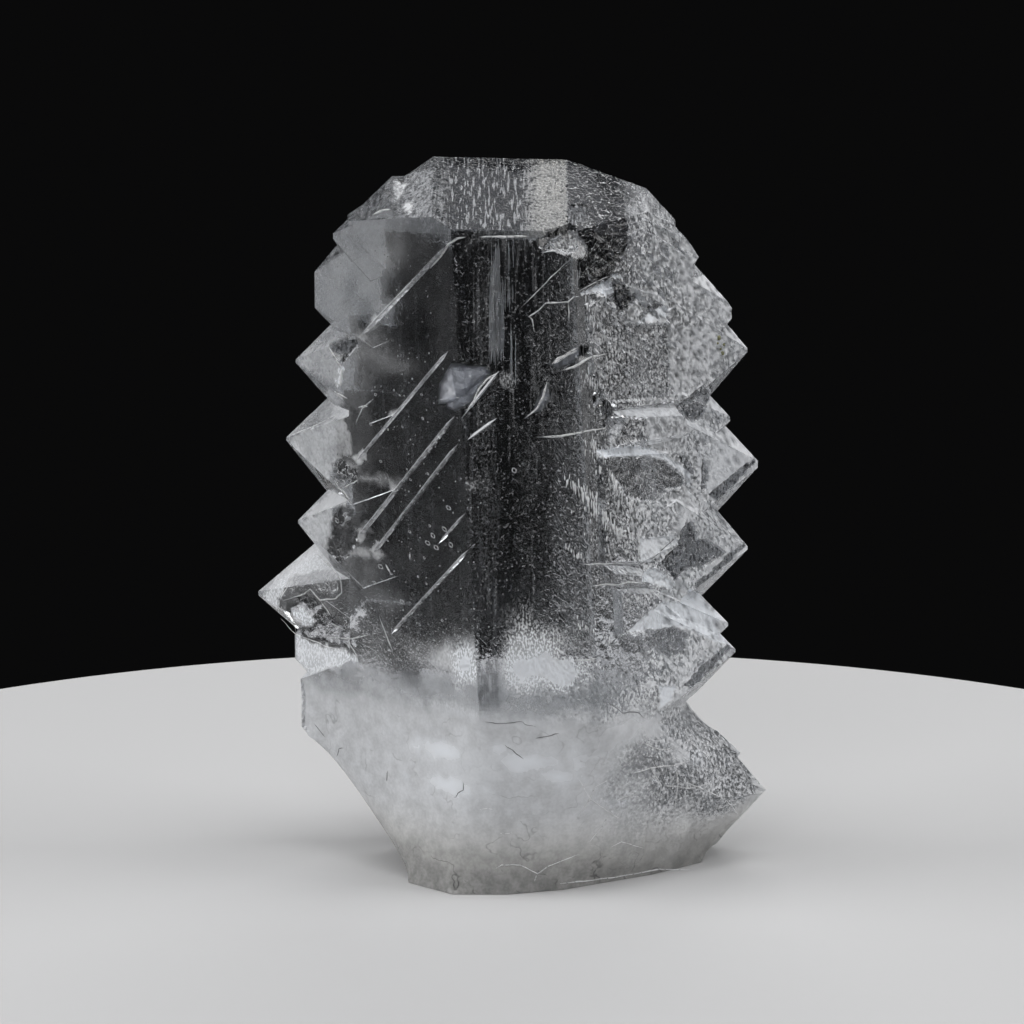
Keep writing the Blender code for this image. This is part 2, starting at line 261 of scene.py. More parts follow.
def findFacets(points, faces):
    # triangles that lie in one plane and touch share a facet number
    a, b, c = (points[faces[:, k]] for k in range(3))
    normals = np.cross(b - a, c - a)
    sizes = np.linalg.norm(normals, axis=1)
    normals /= np.maximum(sizes, 1e-12)[:, None]
    sides = triangleSides(faces)
    near = neighbours(sides, len(faces))
    facet = np.full(len(faces), -1)
    facetNormals = []
    for seed in np.argsort(-sizes):
        if facet[seed] >= 0:
            continue
        number = len(facetNormals)
        facet[seed] = number
        normal, origin = normals[seed], points[faces[seed, 0]]
        stack = [seed]
        while stack:
            for other in near[stack.pop()]:
                if facet[other] >= 0:
                    continue
                stray = np.abs((points[faces[other]] - origin) @ normal).max()
                sliver = sizes[other] < 0.002
                if stray < crystalShape["flatness"] and (normals[other] @ normal > 0.9 or sliver):
                    facet[other] = number
                    stack.append(other)
        facetNormals.append(normal)
    return facet, np.array(facetNormals), sides


def inside(spots, segments):
    # even-odd test of 2D spots against closed outlines given as segments
    batch = 4000
    hit = np.zeros(len(spots), bool)
    a, b = segments[:, 0], segments[:, 1]
    rise = b[:, 1] - a[:, 1]
    slope = (b[:, 0] - a[:, 0]) / np.where(np.abs(rise) < 1e-12, 1e-12, rise)
    for start in range(0, len(spots), batch):
        u, v = (spots[start:start + batch, k][:, None] for k in (0, 1))
        crosses = (a[:, 1] > v) != (b[:, 1] > v)
        x = a[:, 0] + (v - a[:, 1]) * slope
        hit[start:start + batch] = ((crosses & (u < x)).sum(1) % 2) == 1
    return hit


def signedArea(spots, tris):
    # twice the area of each flat triangle, negative where it runs clockwise
    a, b, c = (spots[tris[:, k]] for k in range(3))
    u, v = b - a, c - a
    return u[:, 0] * v[:, 1] - u[:, 1] * v[:, 0]


def keptRegions(spots, tris, walls, segments):
    # regions between the walls are kept or left out whole, judged at their largest triangle
    sides = triangleSides(tris, walls)
    near = neighbours(sides, len(tris))
    openSide = np.zeros(len(tris), bool)
    for pair in sides.values():
        if len(pair) != 2:
            openSide[pair] = True
    within = inside(spots[tris].sum(1) / 3, segments)
    kept = np.zeros(len(tris), bool)
    seen = np.zeros(len(tris), bool)
    for seed in np.argsort(-np.abs(signedArea(spots, tris))).tolist():
        if seen[seed]:
            continue
        region, stack = [seed], [seed]
        seen[seed] = True
        while stack:
            for other in near[stack.pop()]:
                if not seen[other]:
                    seen[other] = True
                    region.append(other)
                    stack.append(other)
        kept[region] = within[seed] and not openSide[region].any()
    return kept


sutures = {
    "narrowing": 0.72,      # share of the modelled width that is kept
    "reach": 0.45,          # mm to each side of the line that is narrowed
    "shift": (0.029, 0.591, 0),           # mm, from the lines below to the frame
    "leftFacing": (-0.93, -1.0, -0.052),  # direction of the left face
    "leftPoint": (-5.6, -12.5, 63.0),     # mm, a point on it
    "frontPoint": -12.5,    # mm, y of the front face
    "leftLines": (    # x and z of the upper and lower ends, mm
        ((-5.7, 62.3), (-14.5, 52.4)), ((-5.9, 52.3), (-14.8, 40.6)), ((-5.2, 46.4), (-14.9, 32.9)),
        ((-5.0, 43.7), (-13.3, 31.8)), ((-4.3, 37.3), (-6.9, 33.9)), ((-4.0, 33.9), (-11.6, 24.2)),
    ),
    "frontLines": (((-1.2, 50.6), (-4.3, 46.7)), ((-1.4, 46.2), (-4.2, 44.1))),
}


def sutureOffset(points):
    # nearest suture's sideways distance in x and z, and how high each point lies above its face
    p = points - sutures["shift"]
    left = np.array(sutures["leftFacing"])
    left /= np.linalg.norm(left)
    aboveLeft, aboveFront = (p - sutures["leftPoint"]) @ left, sutures["frontPoint"] - p[:, 1]
    lines = [(ends, aboveLeft, p[:, 0] < -3.0) for ends in sutures["leftLines"]]
    lines += [(ends, aboveFront, True) for ends in sutures["frontLines"]]
    best = np.full(len(p), 9.0)
    offset = np.zeros((len(p), 2))
    lift = np.zeros(len(p))
    for (upper, lower), high, allowed in lines:
        run = np.array(lower) - np.array(upper)
        length = np.linalg.norm(run)
        run /= length
        q = p[:, [0, 2]] - upper
        along = q @ run
        aside = q - np.outer(along, run)
        away = np.linalg.norm(aside, axis=1)
        near = (along > -0.05) & (along < length + 0.05) & (away < best)
        near &= (np.abs(high) < 0.5) & (p[:, 1] < -1) & allowed
        best = np.where(near, away, best)
        offset[near] = aside[near]
        lift[near] = high[near]
    return best, offset, lift


def narrowSutures(points):
    away, offset, _ = sutureOffset(points)
    near = away < sutures["reach"]
    left = sutures["leftFacing"]
    shrink = 1 - sutures["narrowing"]
    moved = points.copy()
    dx, dz = -offset[near, 0] * shrink, -offset[near, 1] * shrink
    dy = np.where(points[near, 1] < frontY, 0, -(left[0] * dx + left[2] * dz) / left[1])
    moved[near] += np.stack([dx, dy, dz], 1)
    return moved


def splitEdges(points, facet, normals, sides):
    # adds points along the edges between facets and gives each facet's outline as pairs of points
    everyPoint = points.tolist()
    outlines = [[] for _ in normals]
    for (i, j), pair in sides.items():
        if len(pair) != 2 or facet[pair[0]] == facet[pair[1]]:
            continue
        p, q = points[i], points[j]
        step = min(spacingAt((p + q) / 2, normals[facet[t]]) for t in pair)
        gap = crystalShape["fine"] * step
        parts = max(1, int(math.ceil(np.linalg.norm(q - p) / gap)))
        chain = [i]
        for k in range(1, parts):
            chain.append(len(everyPoint))
            everyPoint.append((p + (q - p) * k / parts).tolist())
        chain.append(j)
        for t in pair:
            outlines[facet[t]] += list(zip(chain, chain[1:]))
    return everyPoint, outlines


def gridInside(rim, segments, toSpace, normal, seed):
    # slightly shaken grid of spots inside an outline, thinned out where the surface is smooth
    fine = crystalShape["fine"]
    low, high = rim.min(0), rim.max(0)
    rows = [np.zeros((0, 4))]
    for r, v in enumerate(np.arange(low[1], high[1], fine * 0.866)):
        shift = 0.5 * fine * (r % 2)
        u = np.arange(low[0] + shift, high[0], fine)
        rows.append(np.stack([u, np.full(len(u), v), np.full(len(u), r), np.arange(len(u))], 1))
    spots = np.concatenate(rows)
    cells = spots[:, 2:].astype(np.int64)
    shake = np.stack([scatter(cells, 5 + seed), scatter(cells, 91 + seed)], 1)
    spots[:, :2] += (shake - 0.5) * 0.3 * fine
    step = np.array([spacingAt(p, normal) for p in toSpace(spots[:, :2])])
    spots = spots[(spots[:, 2:] % step[:, None] == 0).all(1)][:, :2]
    spots = spots[inside(spots, segments)]
    # no spot in a small square that the outline already uses
    square = fine * 0.55
    busy = {tuple(c) for c in np.floor(rim / square).astype(int).tolist()}
    free = [tuple(c) not in busy for c in np.floor(spots / square).astype(int).tolist()]
    return spots[np.array(free, bool)]


def fillFacet(edges, everyPoint, normal, seed):
    # even triangles inside one facet's outline; new points are added to everyPoint
    used = sorted({i for e in edges for i in e})
    place = {i: k for k, i in enumerate(used)}
    rim = np.array([everyPoint[i] for i in used])
    side = np.cross(normal, (0.31, 0.47, 0.83))   # any direction that no facet looks in
    side /= np.linalg.norm(side)
    up = np.cross(normal, side)
    origin = rim[0]

    def toSpace(spots):
        return origin + spots[:, :1] * side + spots[:, 1:2] * up

    rim = np.stack([(rim - origin) @ side, (rim - origin) @ up], 1)
    flatEdges = [(place[i], place[j]) for i, j in edges]
    segments = rim[np.array(flatEdges)]
    spots = gridInside(rim, segments, toSpace, normal, seed)
    coords = [Vector(p) for p in np.vstack([rim, spots]).tolist()]
    verts, links, tris, sources, edgeSources, _ = delaunay_2d_cdt(coords, flatEdges, [], 0, 1e-7)
    verts, tris = np.array([tuple(v) for v in verts]), np.array(tris)
    number = []
    for source, real in zip(sources, toSpace(verts).tolist()):
        if source and source[0] < len(used):
            number.append(used[source[0]])
        else:
            number.append(len(everyPoint))
            everyPoint.append(real)
    walls = {(min(e), max(e)) for e, source in zip(links, edgeSources) if source}
    tris = tris[keptRegions(verts, tris, walls, segments)]
    turned = signedArea(verts, tris) < 0
    tris[turned] = tris[turned][:, ::-1]
    return np.array(number)[tris]


def fillFacets(points, faces):
    # meshes every facet afresh with even triangles, closer together where the surface is rough
    facet, normals, sides = findFacets(points, faces)
    everyPoint, outlines = splitEdges(points, facet, normals, sides)
    newFaces, newFacet = [], []
    for f, edges in enumerate(outlines):
        if len(edges) < 3:
            continue
        tris = fillFacet(edges, everyPoint, normals[f], f)
        newFaces.append(tris)
        newFacet.append(np.full(len(tris), f))
    return np.array(everyPoint), np.concatenate(newFaces), np.concatenate(newFacet), normals


def pitField(u, v, cellU, cellV, share, seed):
    # 0 to 1 depth of long pits scattered over a slanted grid
    q = np.stack([u / cellU, v / cellV], 1)
    low = np.floor(q).astype(np.int64)
    deepest = np.zeros(len(q))
    for du in (-1, 0, 1):
        for dv in (-1, 0, 1):
            cell = low + (du, dv)
            here = scatter(cell, seed) < share
            cu = cell[:, 0] + 0.2 + 0.6 * scatter(cell, seed + 1)
            cv = cell[:, 1] + 0.2 + 0.6 * scatter(cell, seed + 2)
            size = 0.55 + 0.45 * scatter(cell, seed + 3)
            away = np.sqrt(((q[:, 0] - cu) / 0.52) ** 2 + ((q[:, 1] - cv) / 0.46) ** 2) / size
            deepest = np.maximum(deepest, np.where(here, np.clip(1 - away, 0, 1) * size, 0))
    return deepest


facePatches = {
    # the dark column is painted shade, where the faces look dark
    # milk, dark, curls, depth at the lowest and at the highest point in mm, then the outline's x
    # and z in mm
    "shoulderCurls": (0.02, 1.0, 1.0, 0.0, 0.0, (
        (5.1, 69.3), (7.7, 68.0), (9.8, 67.0), (10.4, 65.5), (10.7, 63.8), (10.8, 61.6),
        (9.7, 60.2), (8.4, 60.5), (6.9, 61.9), (6.1, 62.9), (5.3, 64.0), (5.1, 65.8))),
    "shoulderGap": (0.02, 0.9, 0.3, 0.1, 0.1, (
        (5.1, 65.6), (7.0, 65.4), (7.1, 64.3), (6.3, 63.9), (5.0, 64.0))),
    "shoulderFoot": (0.04, 0.75, 0.7, 0.0, 0.0, (
        (6.9, 61.9), (8.4, 60.5), (9.7, 60.2), (9.4, 59.0), (7.7, 58.5), (6.1, 57.9), (6.0, 61.0))),
    "chipShade": (0.02, 1.0, 0.2, 0.1, 0.75, (
        (2.3, 62.7), (3.8, 63.5), (5.3, 64.1), (6.0, 63.8), (4.1, 62.8), (2.6, 61.6))),
    "chip": (0.5, 0.25, 1.0, 0.0, 0.7, (
        (2.7, 61.6), (4.1, 62.6), (5.9, 63.7), (6.1, 62.9), (7.0, 61.9), (6.8, 61.0), (5.9, 61.0),
        (4.9, 61.2), (4.1, 61.6))),
    "ledge": (0.88, 0.0, 0.15, 0.0, 0.75, (
        (6.1, 57.5), (9.2, 58.6), (9.4, 57.4), (8.7, 57.2), (8.3, 57.6), (7.4, 57.5))),
    "smallLedge": (0.8, 0.0, 0.0, 0.0, 0.3, ((9.3, 59.1), (10.4, 58.8), (10.3, 58.5), (9.5, 58.6))),
    "shadeBand": (0.02, 1.0, 0.8, 0.1, 0.35, (
        (9.4, 58.5), (11.2, 57.7), (11.5, 56.4), (9.9, 55.5), (9.7, 56.3), (9.5, 56.9))),
    "brightCurls": (0.48, 0.3, 0.8, 0.0, 0.1, (
        (11.5, 58.6), (13.0, 58.2), (13.5, 57.0), (12.8, 56.5), (11.7, 56.5), (10.8, 57.5))),
    "slab": (0.2, 0.1, 0.0, 0.35, 0.1, (
        (11.9, 56.3), (12.8, 56.5), (14.2, 56.1), (14.3, 55.7), (12.8, 55.1), (12.3, 55.4))),
    "brightSlope": (0.92, 0.0, 0.2, 0.0, 0.45, (
        (11.7, 54.4), (13.0, 55.2), (14.5, 55.7), (14.9, 54.8), (13.5, 54.5), (12.0, 54.3))),
    "terrace": (0.34, 0.25, 0.1, 0.12, 0.3, (
        (7.1, 57.2), (9.2, 56.9), (9.9, 55.3), (11.7, 54.3), (14.9, 54.1), (15.1, 47.0),
        (9.7, 47.4), (8.4, 47.8), (7.0, 51.8))),
    "pittedField": (0.64, 0.1, 0.25, 0.0, 0.0, (
        (15.0, 53.6), (18.6, 53.4), (20.0, 51.9), (20.4, 50.2), (18.7, 48.6), (15.2, 47.0),
        (14.9, 49.3))),
    "plainField": (0.58, 0.0, 0.0, 0.0, 0.0, (
        (15.2, 56.0), (20.0, 54.2), (20.8, 53.0), (20.0, 52.4), (15.9, 54.0))),
    "notchA": (0.0, 0.95, 0.0, 0.35, 0.35, ((7.5, 48.5), (8.3, 47.9), (7.6, 47.2))),
    "notchB": (0.02, 0.9, 0.1, 0.45, 0.45, (
        (8.2, 47.3), (8.7, 47.7), (9.7, 46.8), (9.2, 45.7), (8.9, 45.1), (8.3, 45.1), (8.2, 45.8))),
    "notchC": (0.0, 0.8, 0.0, 0.08, 0.08, ((6.1, 52.8), (6.9, 52.7), (6.7, 51.8), (6.2, 51.7))),
    "betweenTips": (0.12, 0.7, 1.0, 0.2, 0.2, (
        (15.4, 46.1), (18.2, 47.7), (19.0, 46.8), (18.2, 44.5), (16.6, 44.7))),
    "greySlab": (0.3, 0.1, 0.15, 0.1, 0.3, (
        (9.0, 45.9), (10.5, 46.0), (12.7, 45.5), (12.9, 42.6), (9.0, 43.1))),
    "tipFace": (0.68, 0.1, 0.2, 0.0, 0.0, (
        (10.5, 46.8), (15.4, 46.1), (16.6, 44.7), (18.2, 44.5), (19.5, 43.0), (23.3, 40.0),
        (18.8, 37.6), (17.0, 40.5), (15.0, 42.2), (12.9, 42.6), (12.7, 45.5), (10.5, 46.0))),
    "brightRim": (0.95, 0.0, 0.0, 0.0, 0.25, (
        (7.8, 43.1), (9.0, 43.1), (12.7, 42.6), (14.5, 41.8), (17.0, 39.6), (16.8, 38.7),
        (16.2, 39.7), (14.3, 41.4), (12.5, 42.0), (9.2, 42.3), (8.0, 42.6))),
    "lensA": (0.05, 0.8, 0.0, 0.3, 0.1, (
        (15.6, 41.8), (16.5, 40.9), (17.3, 39.7), (16.9, 39.4), (16.1, 40.6))),
    "lensB": (0.1, 0.6, 0.2, 0.3, 0.1, (
        (18.2, 41.2), (18.8, 39.7), (18.6, 38.0), (18.1, 37.7), (18.2, 39.6))),
    "underRim": (0.12, 0.3, 0.0, 0.1, 0.4, (
        (9.0, 42.3), (12.7, 41.9), (14.5, 41.2), (16.1, 39.6), (16.5, 38.5), (14.9, 38.4),
        (13.5, 37.4), (10.8, 38.2), (9.6, 40.5))),
    "tipD": (0.52, 0.1, 0.2, 0.0, 0.0, (
        (19.0, 36.7), (19.7, 36.1), (22.3, 32.3), (21.9, 31.9), (20.5, 31.3), (19.0, 32.9),
        (17.4, 33.2), (17.8, 34.5), (17.0, 35.8))),
    "darkD": (0.06, 0.8, 0.9, 0.15, 0.3, (
        (15.8, 33.0), (16.0, 34.2), (17.0, 35.2), (17.5, 34.6), (17.6, 33.2), (19.0, 32.9),
        (20.5, 31.5), (19.4, 30.9), (17.8, 30.5), (16.4, 30.5), (15.6, 29.5), (14.2, 31.4),
        (14.6, 32.0))),
    "facetD": (0.74, 0.0, 0.0, 0.0, 0.35, (
        (12.0, 34.2), (15.2, 33.9), (15.8, 33.2), (13.0, 31.8), (12.0, 31.8))),
    "rhomb": (0.8, 0.0, 0.0, 0.0, 0.3, (
        (12.2, 30.8), (13.6, 31.1), (15.6, 29.1), (15.2, 28.8), (13.8, 29.5), (12.2, 30.2))),
    "longTip": (0.86, 0.0, 0.0, 0.0, 0.2, (
        (10.6, 25.6), (14.2, 27.8), (16.0, 27.5), (17.0, 28.5), (20.3, 25.1), (19.6, 24.5),
        (20.9, 22.6), (19.1, 23.4), (17.0, 24.7), (15.6, 25.3), (12.8, 25.4))),
    "darkE": (0.1, 0.6, 0.5, 0.1, 0.35, (
        (12.6, 25.4), (15.8, 25.1), (16.8, 24.3), (16.4, 22.6), (15.4, 22.3), (12.8, 23.9))),
    "wedgeC": (0.04, 0.8, 0.2, 0.0, 0.0, (
        (18.7, 37.3), (19.7, 36.4), (23.5, 39.8), (23.4, 40.2), (21.5, 39.2))),
    "wedgeD": (0.04, 0.8, 0.2, 0.0, 0.0, (
        (17.4, 28.8), (17.7, 28.2), (22.5, 31.9), (22.4, 32.3), (20.7, 31.3))),
    "wedgeE": (0.04, 0.7, 0.2, 0.0, 0.0, (
        (16.3, 19.4), (17.3, 19.1), (21.1, 22.4), (20.9, 22.8), (18.3, 21.3))),
    "smallFacet": (0.9, 0.0, 0.0, 0.0, 0.2, (
        (14.0, 19.8), (15.7, 19.3), (15.3, 18.4), (14.1, 17.4))),
    "darkF": (0.07, 0.5, 0.35, 0.0, 0.2, (
        (-21.9, 25.6), (-20.3, 26.5), (-18.7, 25.9), (-17.0, 24.5), (-15.2, 23.3), (-15.6, 21.9),
        (-18.6, 21.5), (-20.9, 22.0), (-22.2, 23.7))),
    "greyF": (0.28, 0.25, 0.8, 0.0, 0.1, (
        (-21.6, 27.9), (-19.0, 29.3), (-16.7, 28.5), (-16.7, 27.2), (-18.5, 26.7), (-19.9, 27.5),
        (-21.7, 26.3))),
    "gapB": (0.06, 0.7, 0.3, 0.15, 0.3, (
        (-17.6, 51.5), (-15.5, 52.6), (-14.5, 52.2), (-16.1, 49.8))),
    "hollowD": (0.1, 0.35, 0.3, 0.1, 0.2, (
        (-17.7, 35.2), (-16.8, 35.6), (-15.4, 34.8), (-14.7, 33.5), (-15.5, 31.8), (-16.9, 29.9),
        (-17.9, 30.4), (-18.0, 32.6))),
    "tipB": (0.4, 0.05, 0.1, 0.0, 0.1, (
        (-18.1, 52.0), (-16.1, 49.6), (-16.4, 47.5), (-20.7, 49.5))),
    "ridgeB": (0.85, 0.0, 0.0, 0.0, 0.1, (
        (-16.4, 49.6), (-15.9, 49.5), (-16.1, 48.2), (-16.7, 47.3), (-16.9, 47.6), (-16.6, 48.4))),
    "topC": (0.36, 0.15, 0.3, 0.0, 0.15, (
        (-19.5, 44.2), (-17.1, 47.2), (-15.8, 46.9), (-16.4, 44.9), (-17.8, 44.1), (-21.4, 42.2),
        (-21.8, 41.6))),
    "tipC": (0.5, 0.0, 0.0, 0.0, 0.15, (
        (-21.7, 41.6), (-21.4, 42.1), (-17.7, 44.0), (-16.3, 45.0), (-15.4, 43.1), (-15.4, 41.2),
        (-16.7, 40.5), (-17.2, 39.7), (-17.7, 38.2))),
    "curlC": (0.15, 0.6, 1.0, 0.05, 0.15, (
        (-17.2, 40.2), (-16.1, 40.6), (-14.6, 39.5), (-14.9, 38.3), (-16.1, 37.9), (-17.0, 38.4))),
    "topD": (0.6, 0.0, 0.0, 0.0, 0.15, (
        (-20.6, 33.9), (-17.7, 36.9), (-16.3, 37.2), (-15.6, 36.4), (-17.8, 35.5))),
    "tipD2": (0.46, 0.0, 0.1, 0.0, 0.1, (
        (-20.7, 33.6), (-20.6, 33.8), (-17.8, 35.5), (-17.3, 35.3), (-17.6, 33.1), (-17.9, 31.5),
        (-17.5, 29.2))),
    "spotD": (0.08, 0.5, 0.5, 0.0, 0.1, (
        (-17.3, 35.6), (-16.3, 35.9), (-16.0, 34.5), (-16.7, 33.8), (-17.3, 34.1))),
    "darkG": (0.12, 0.5, 0.6, 0.0, 0.1, (
        (-17.9, 32.0), (-16.5, 32.2), (-16.2, 30.7), (-17.5, 29.1))),
    "tipF": (0.7, 0.05, 0.1, 0.0, 0.1, (
        (-24.9, 25.3), (-19.4, 30.0), (-17.5, 29.1), (-19.5, 28.4), (-21.8, 27.5), (-23.0, 25.3),
        (-23.2, 24.1))),
    "brightF": (0.78, 0.0, 0.3, 0.0, 0.0, (
        (-21.7, 24.4), (-20.6, 24.8), (-19.2, 24.0), (-19.7, 23.2), (-21.4, 23.1))),
    "facetG": (0.72, 0.0, 0.0, 0.0, 0.15, (
        (-21.3, 22.1), (-19.2, 21.6), (-15.2, 21.5), (-14.7, 21.2), (-20.6, 18.0), (-21.3, 19.9))),
    "roofSquare": (0.62, 0.0, 0.0, 0.0, 0.0, (
        (-10.1, 65.5), (-9.3, 65.6), (-9.4, 64.7), (-10.2, 64.7))),
    "roofCorner": (0.55, 0.1, 0.1, 0.0, 0.0, (
        (-11.2, 67.4), (-9.7, 67.0), (-10.2, 66.3), (-11.0, 65.5))),
    "footTop": (0.53, 0.12, 0.3, 0.0, 0.0, (
        (14.0, 17.1), (16.1, 18.3), (18.9, 15.4), (21.6, 12.0), (24.5, 7.5), (22.9, 5.7),
        (19.8, 8.4), (17.8, 11.4), (15.8, 14.3), (14.0, 15.3))),
    "windowSquiggles": (0.04, 0.4, 0.45, 0.0, 0.0, (
        (1.9, 55.6), (3.1, 56.8), (5.9, 56.9), (5.9, 42.0), (3.4, 44.5), (3.4, 48.5), (2.0, 51.1))),
}

softClouds = (
    # x, z, half width, half height in mm, extra milk or less, and the side of the crystal: -1 left
    # face, 0 front, 1 right face
    (-13.6, 52.2, 2.8, 1.7, 0.12, -1), (-10.8, 50.3, 2.4, 1.1, 0.12, -1),
    (-12.5, 39.1, 2.8, 0.45, 0.35, -1), (-16.2, 39.9, 1.7, 0.7, 0.4, -1),
    (-14.6, 31.8, 1.6, 0.7, 0.42, -1), (-14.2, 28.6, 1.9, 2.2, 0.06, -1),
    (-11.8, 27.6, 1.4, 1.4, 0.06, -1), (-12.4, 24.0, 3.2, 1.6, 0.05, -1),
    (-8.6, 23.2, 3.0, 1.6, 0.07, -1), (-21.0, 23.9, 0.9, 0.9, 0.45, -1),
    (-16.6, 58.5, 2.0, 4.0, 0.08, -1), (-13.8, 54.6, 0.9, 2.6, -0.9, -1),
    (-15.2, 57.5, 0.9, 1.3, -0.7, -1), (-10.6, 58.0, 2.2, 2.4, -0.7, -1),
    (-9.0, 54.0, 2.4, 2.6, -0.7, -1), (-12.6, 46.8, 1.8, 2.6, -0.6, -1),
    (-13.8, 34.6, 1.6, 1.8, -0.6, -1), (-4.3, 22.8, 1.9, 3.0, 0.9, -1),
    (-6.4, 22.8, 2.4, 1.8, 0.45, -1), (1.9, 22.9, 2.9, 2.7, 0.88, 0),
    (4.4, 22.0, 3.2, 1.9, 0.88, 0), (0.2, 22.6, 1.3, 2.6, 0.8, 0), (2.8, 24.8, 2.8, 2.4, 0.4, 0),
    (1.0, 26.0, 1.5, 3.2, 0.2, 0), (-3.9, 39.8, 1.0, 0.4, 0.4, 0), (-0.4, 49.6, 0.9, 0.5, 0.3, 0),
    (9.6, 24.4, 5.4, 5.0, -0.95, 1), (6.2, 49.5, 1.0, 1.6, 0.14, 1),
    (12.5, 52.0, 2.5, 0.8, 0.12, 1), (5.9, 28.5, 1.3, 3.0, 0.1, 1),
)

whiteClouds = (
    # x, z, half width, half height in mm of the white spots in the foot, and how strong
    (-6.6, 14.0, 2.7, 1.3, 1.0), (1.8, 13.4, 4.4, 1.1, 0.95), (-6.2, 10.6, 2.7, 1.0, 1.0),
    (4.2, 12.0, 2.2, 1.0, 1.0), (-1.5, 14.8, 1.6, 0.7, 0.85), (-4.5, 12.6, 6.5, 4.2, 0.4),
    (2.5, 13.5, 6.5, 3.2, 0.35), (16.9, 4.8, 1.0, 1.1, 0.9), (18.0, 12.2, 0.9, 0.8, 0.8),
    (-6.0, 18.2, 4.5, 0.9, 0.5), (1.5, 17.4, 4.0, 0.8, 0.4), (10.2, 8.6, 1.6, 0.6, 0.6),
)

glassyClouds = (
    # x, z, half width, half height in mm where the foot is clearer and gets painted shade, and how
    # much
    (13.2, 12.6, 3.4, 3.0, 0.75), (15.6, 9.6, 4.6, 3.4, 0.75), (19.6, 6.8, 3.0, 2.2, 0.6),
    (10.6, 9.6, 3.2, 3.4, 0.45), (13.5, 17.8, 2.2, 1.6, 0.35), (14.5, 8.0, 8.5, 6.5, 0.35),
)


relief = {                  # mm
    "pits": 0.17,
    "etching": 0.035,
    "curls": 0.05,
    "footWaves": 0.20,      # how uneven the broken foot is
    "footPits": 0.10,
    "rearWaves": 0.45,      # the back of the foot is broken more deeply, in shells
    "rearShells": 0.40,
    "backWaves": 0.10,
    "pitSlant": -57,        # degrees, the pits fall to the right
}


def etchAt(p, n):
    # 0 smooth to 1 strongly etched
    x, _, z = p.T
    _, ny, nz = n.T
    flat = np.abs(ny) > flatFacing
    etch = 0.12 + 0.78 * ramp(x + 0.6 * smoothNoise(p, 3.0, 61), 6.0, 9.5)
    etch = np.where(ny > 0.1, 0.25 + 0.45 * ramp(layered(p, 7.0, 67, 2), -0.3, 0.3), etch)
    etch = np.where((nz > 0.6) & (z > places["roofLow"]), 0.45, etch)
    etch = np.where(flat & (z > places["footTop"]), 0.10 + 0.40 * ramp(x, 1.5, 5.5), etch)
    return np.clip(etch * (0.35 + 0.65 * np.maximum(ramp(z, 16, 22), ramp(x, 12, 15))), 0, 1)


def pitsAt(p, n):
    # 0 to 1 depth of the etch pits on the front and right
    x, _, z = p.T
    slant = math.radians(relief["pitSlant"])
    cos, sin = math.cos(slant), math.sin(slant)
    u, v = x * cos + z * sin, -x * sin + z * cos
    upper = ramp(x, 9.5, 11.5) * ramp(z + 0.9 * x, 60, 66)
    rightRim = ramp(x, 14, 15.5) * ramp(z, 42, 47)
    lowerTips = ramp(x, 13, 15) * ramp(z, 20, 24) * (1 - ramp(z, 44, 47))
    dashes = pitField(u, v, 1.05, 0.50, 0.8, 11) * upper
    worms = pitField(u + 0.5 * smoothNoise(p, 1.2, 5), v, 0.75, 0.58, 0.8, 23) * rightRim
    tips = pitField(u, v, 1.2, 0.6, 0.55, 41) * lowerTips
    sparse = pitField(u, v, 1.9, 0.9, 0.35, 37) * ramp(x, 6, 8) * ramp(z, 20, 24)
    front = ramp(-n[:, 1], -0.2, 0.2)
    return front * np.maximum.reduce([dashes, worms, 0.7 * tips, 0.7 * sparse])


def patchLooks(p):
    # milk, dark, curls and depth from the patches; milk is -1 outside them all
    spots = p[:, [0, 2]] + 0.10 * np.stack([smoothNoise(p, 0.8, 7), smoothNoise(p, 0.8, 8)], 1)
    looks = np.zeros((4, len(p)))
    looks[0] = -1
    for milk, dark, curls, low, high, outline in facePatches.values():
        ends = np.array(outline)
        box = (spots >= ends.min(0)).all(1) & (spots <= ends.max(0)).all(1)
        where = np.flatnonzero(box)
        where = where[inside(spots[where], np.stack([ends, np.roll(ends, -1, 0)], 1))]
        rise = (spots[where, 1] - ends[:, 1].min()) / np.ptp(ends[:, 1])
        looks[:3, where] = np.array((milk, dark, curls))[:, None]
        looks[3, where] = low + (high - low) * rise
    return looks


def reliefAt(p, n, patch, pits):
    # depth in mm by which the surface lies below the flat facet
    x, y, z = p.T
    ny = n[:, 1]
    front = ramp(-ny, -0.2, 0.2)
    depth = relief["pits"] * pits
    depth += relief["etching"] * etchAt(p, n) * (layered(p, 1.6, 71) + 0.4) * front
    depth += relief["curls"] * patch[2] * front * np.abs(smoothNoise(p, 0.55, 19))
    depth += np.where(ny < -0.1, patch[3], 0)
    foot = 1 - ramp(z + 2 * smoothNoise(p, 5, 81), 15, 19)
    foot = foot * ramp(z, 0.05, 0.8) * (np.abs(ny) < 0.99)
    depth += relief["footWaves"] * foot * (0.5 + 0.5 * layered(p, 8.0, 83, 3))
    depth += relief["footPits"] * foot * pitField(x, z, 3.4, 2.2, 0.25, 51)
    shells = relief["rearShells"] * pitField(x + 0.4 * z, z + 0.3 * x, 6.5, 5.0, 0.7, 57)
    rear = foot * ramp(y, -2, 4)
    depth += rear * (relief["rearWaves"] * (0.5 + 0.5 * layered(p, 6.0, 89, 3)) + shells)
    back = ramp(ny, 0.2, 0.6) * ramp(z, 17, 20)
    depth += relief["backWaves"] * back * (0.5 + 0.5 * layered(p * (1, 1, 0.4), 4.0, 87, 2))
    return depth


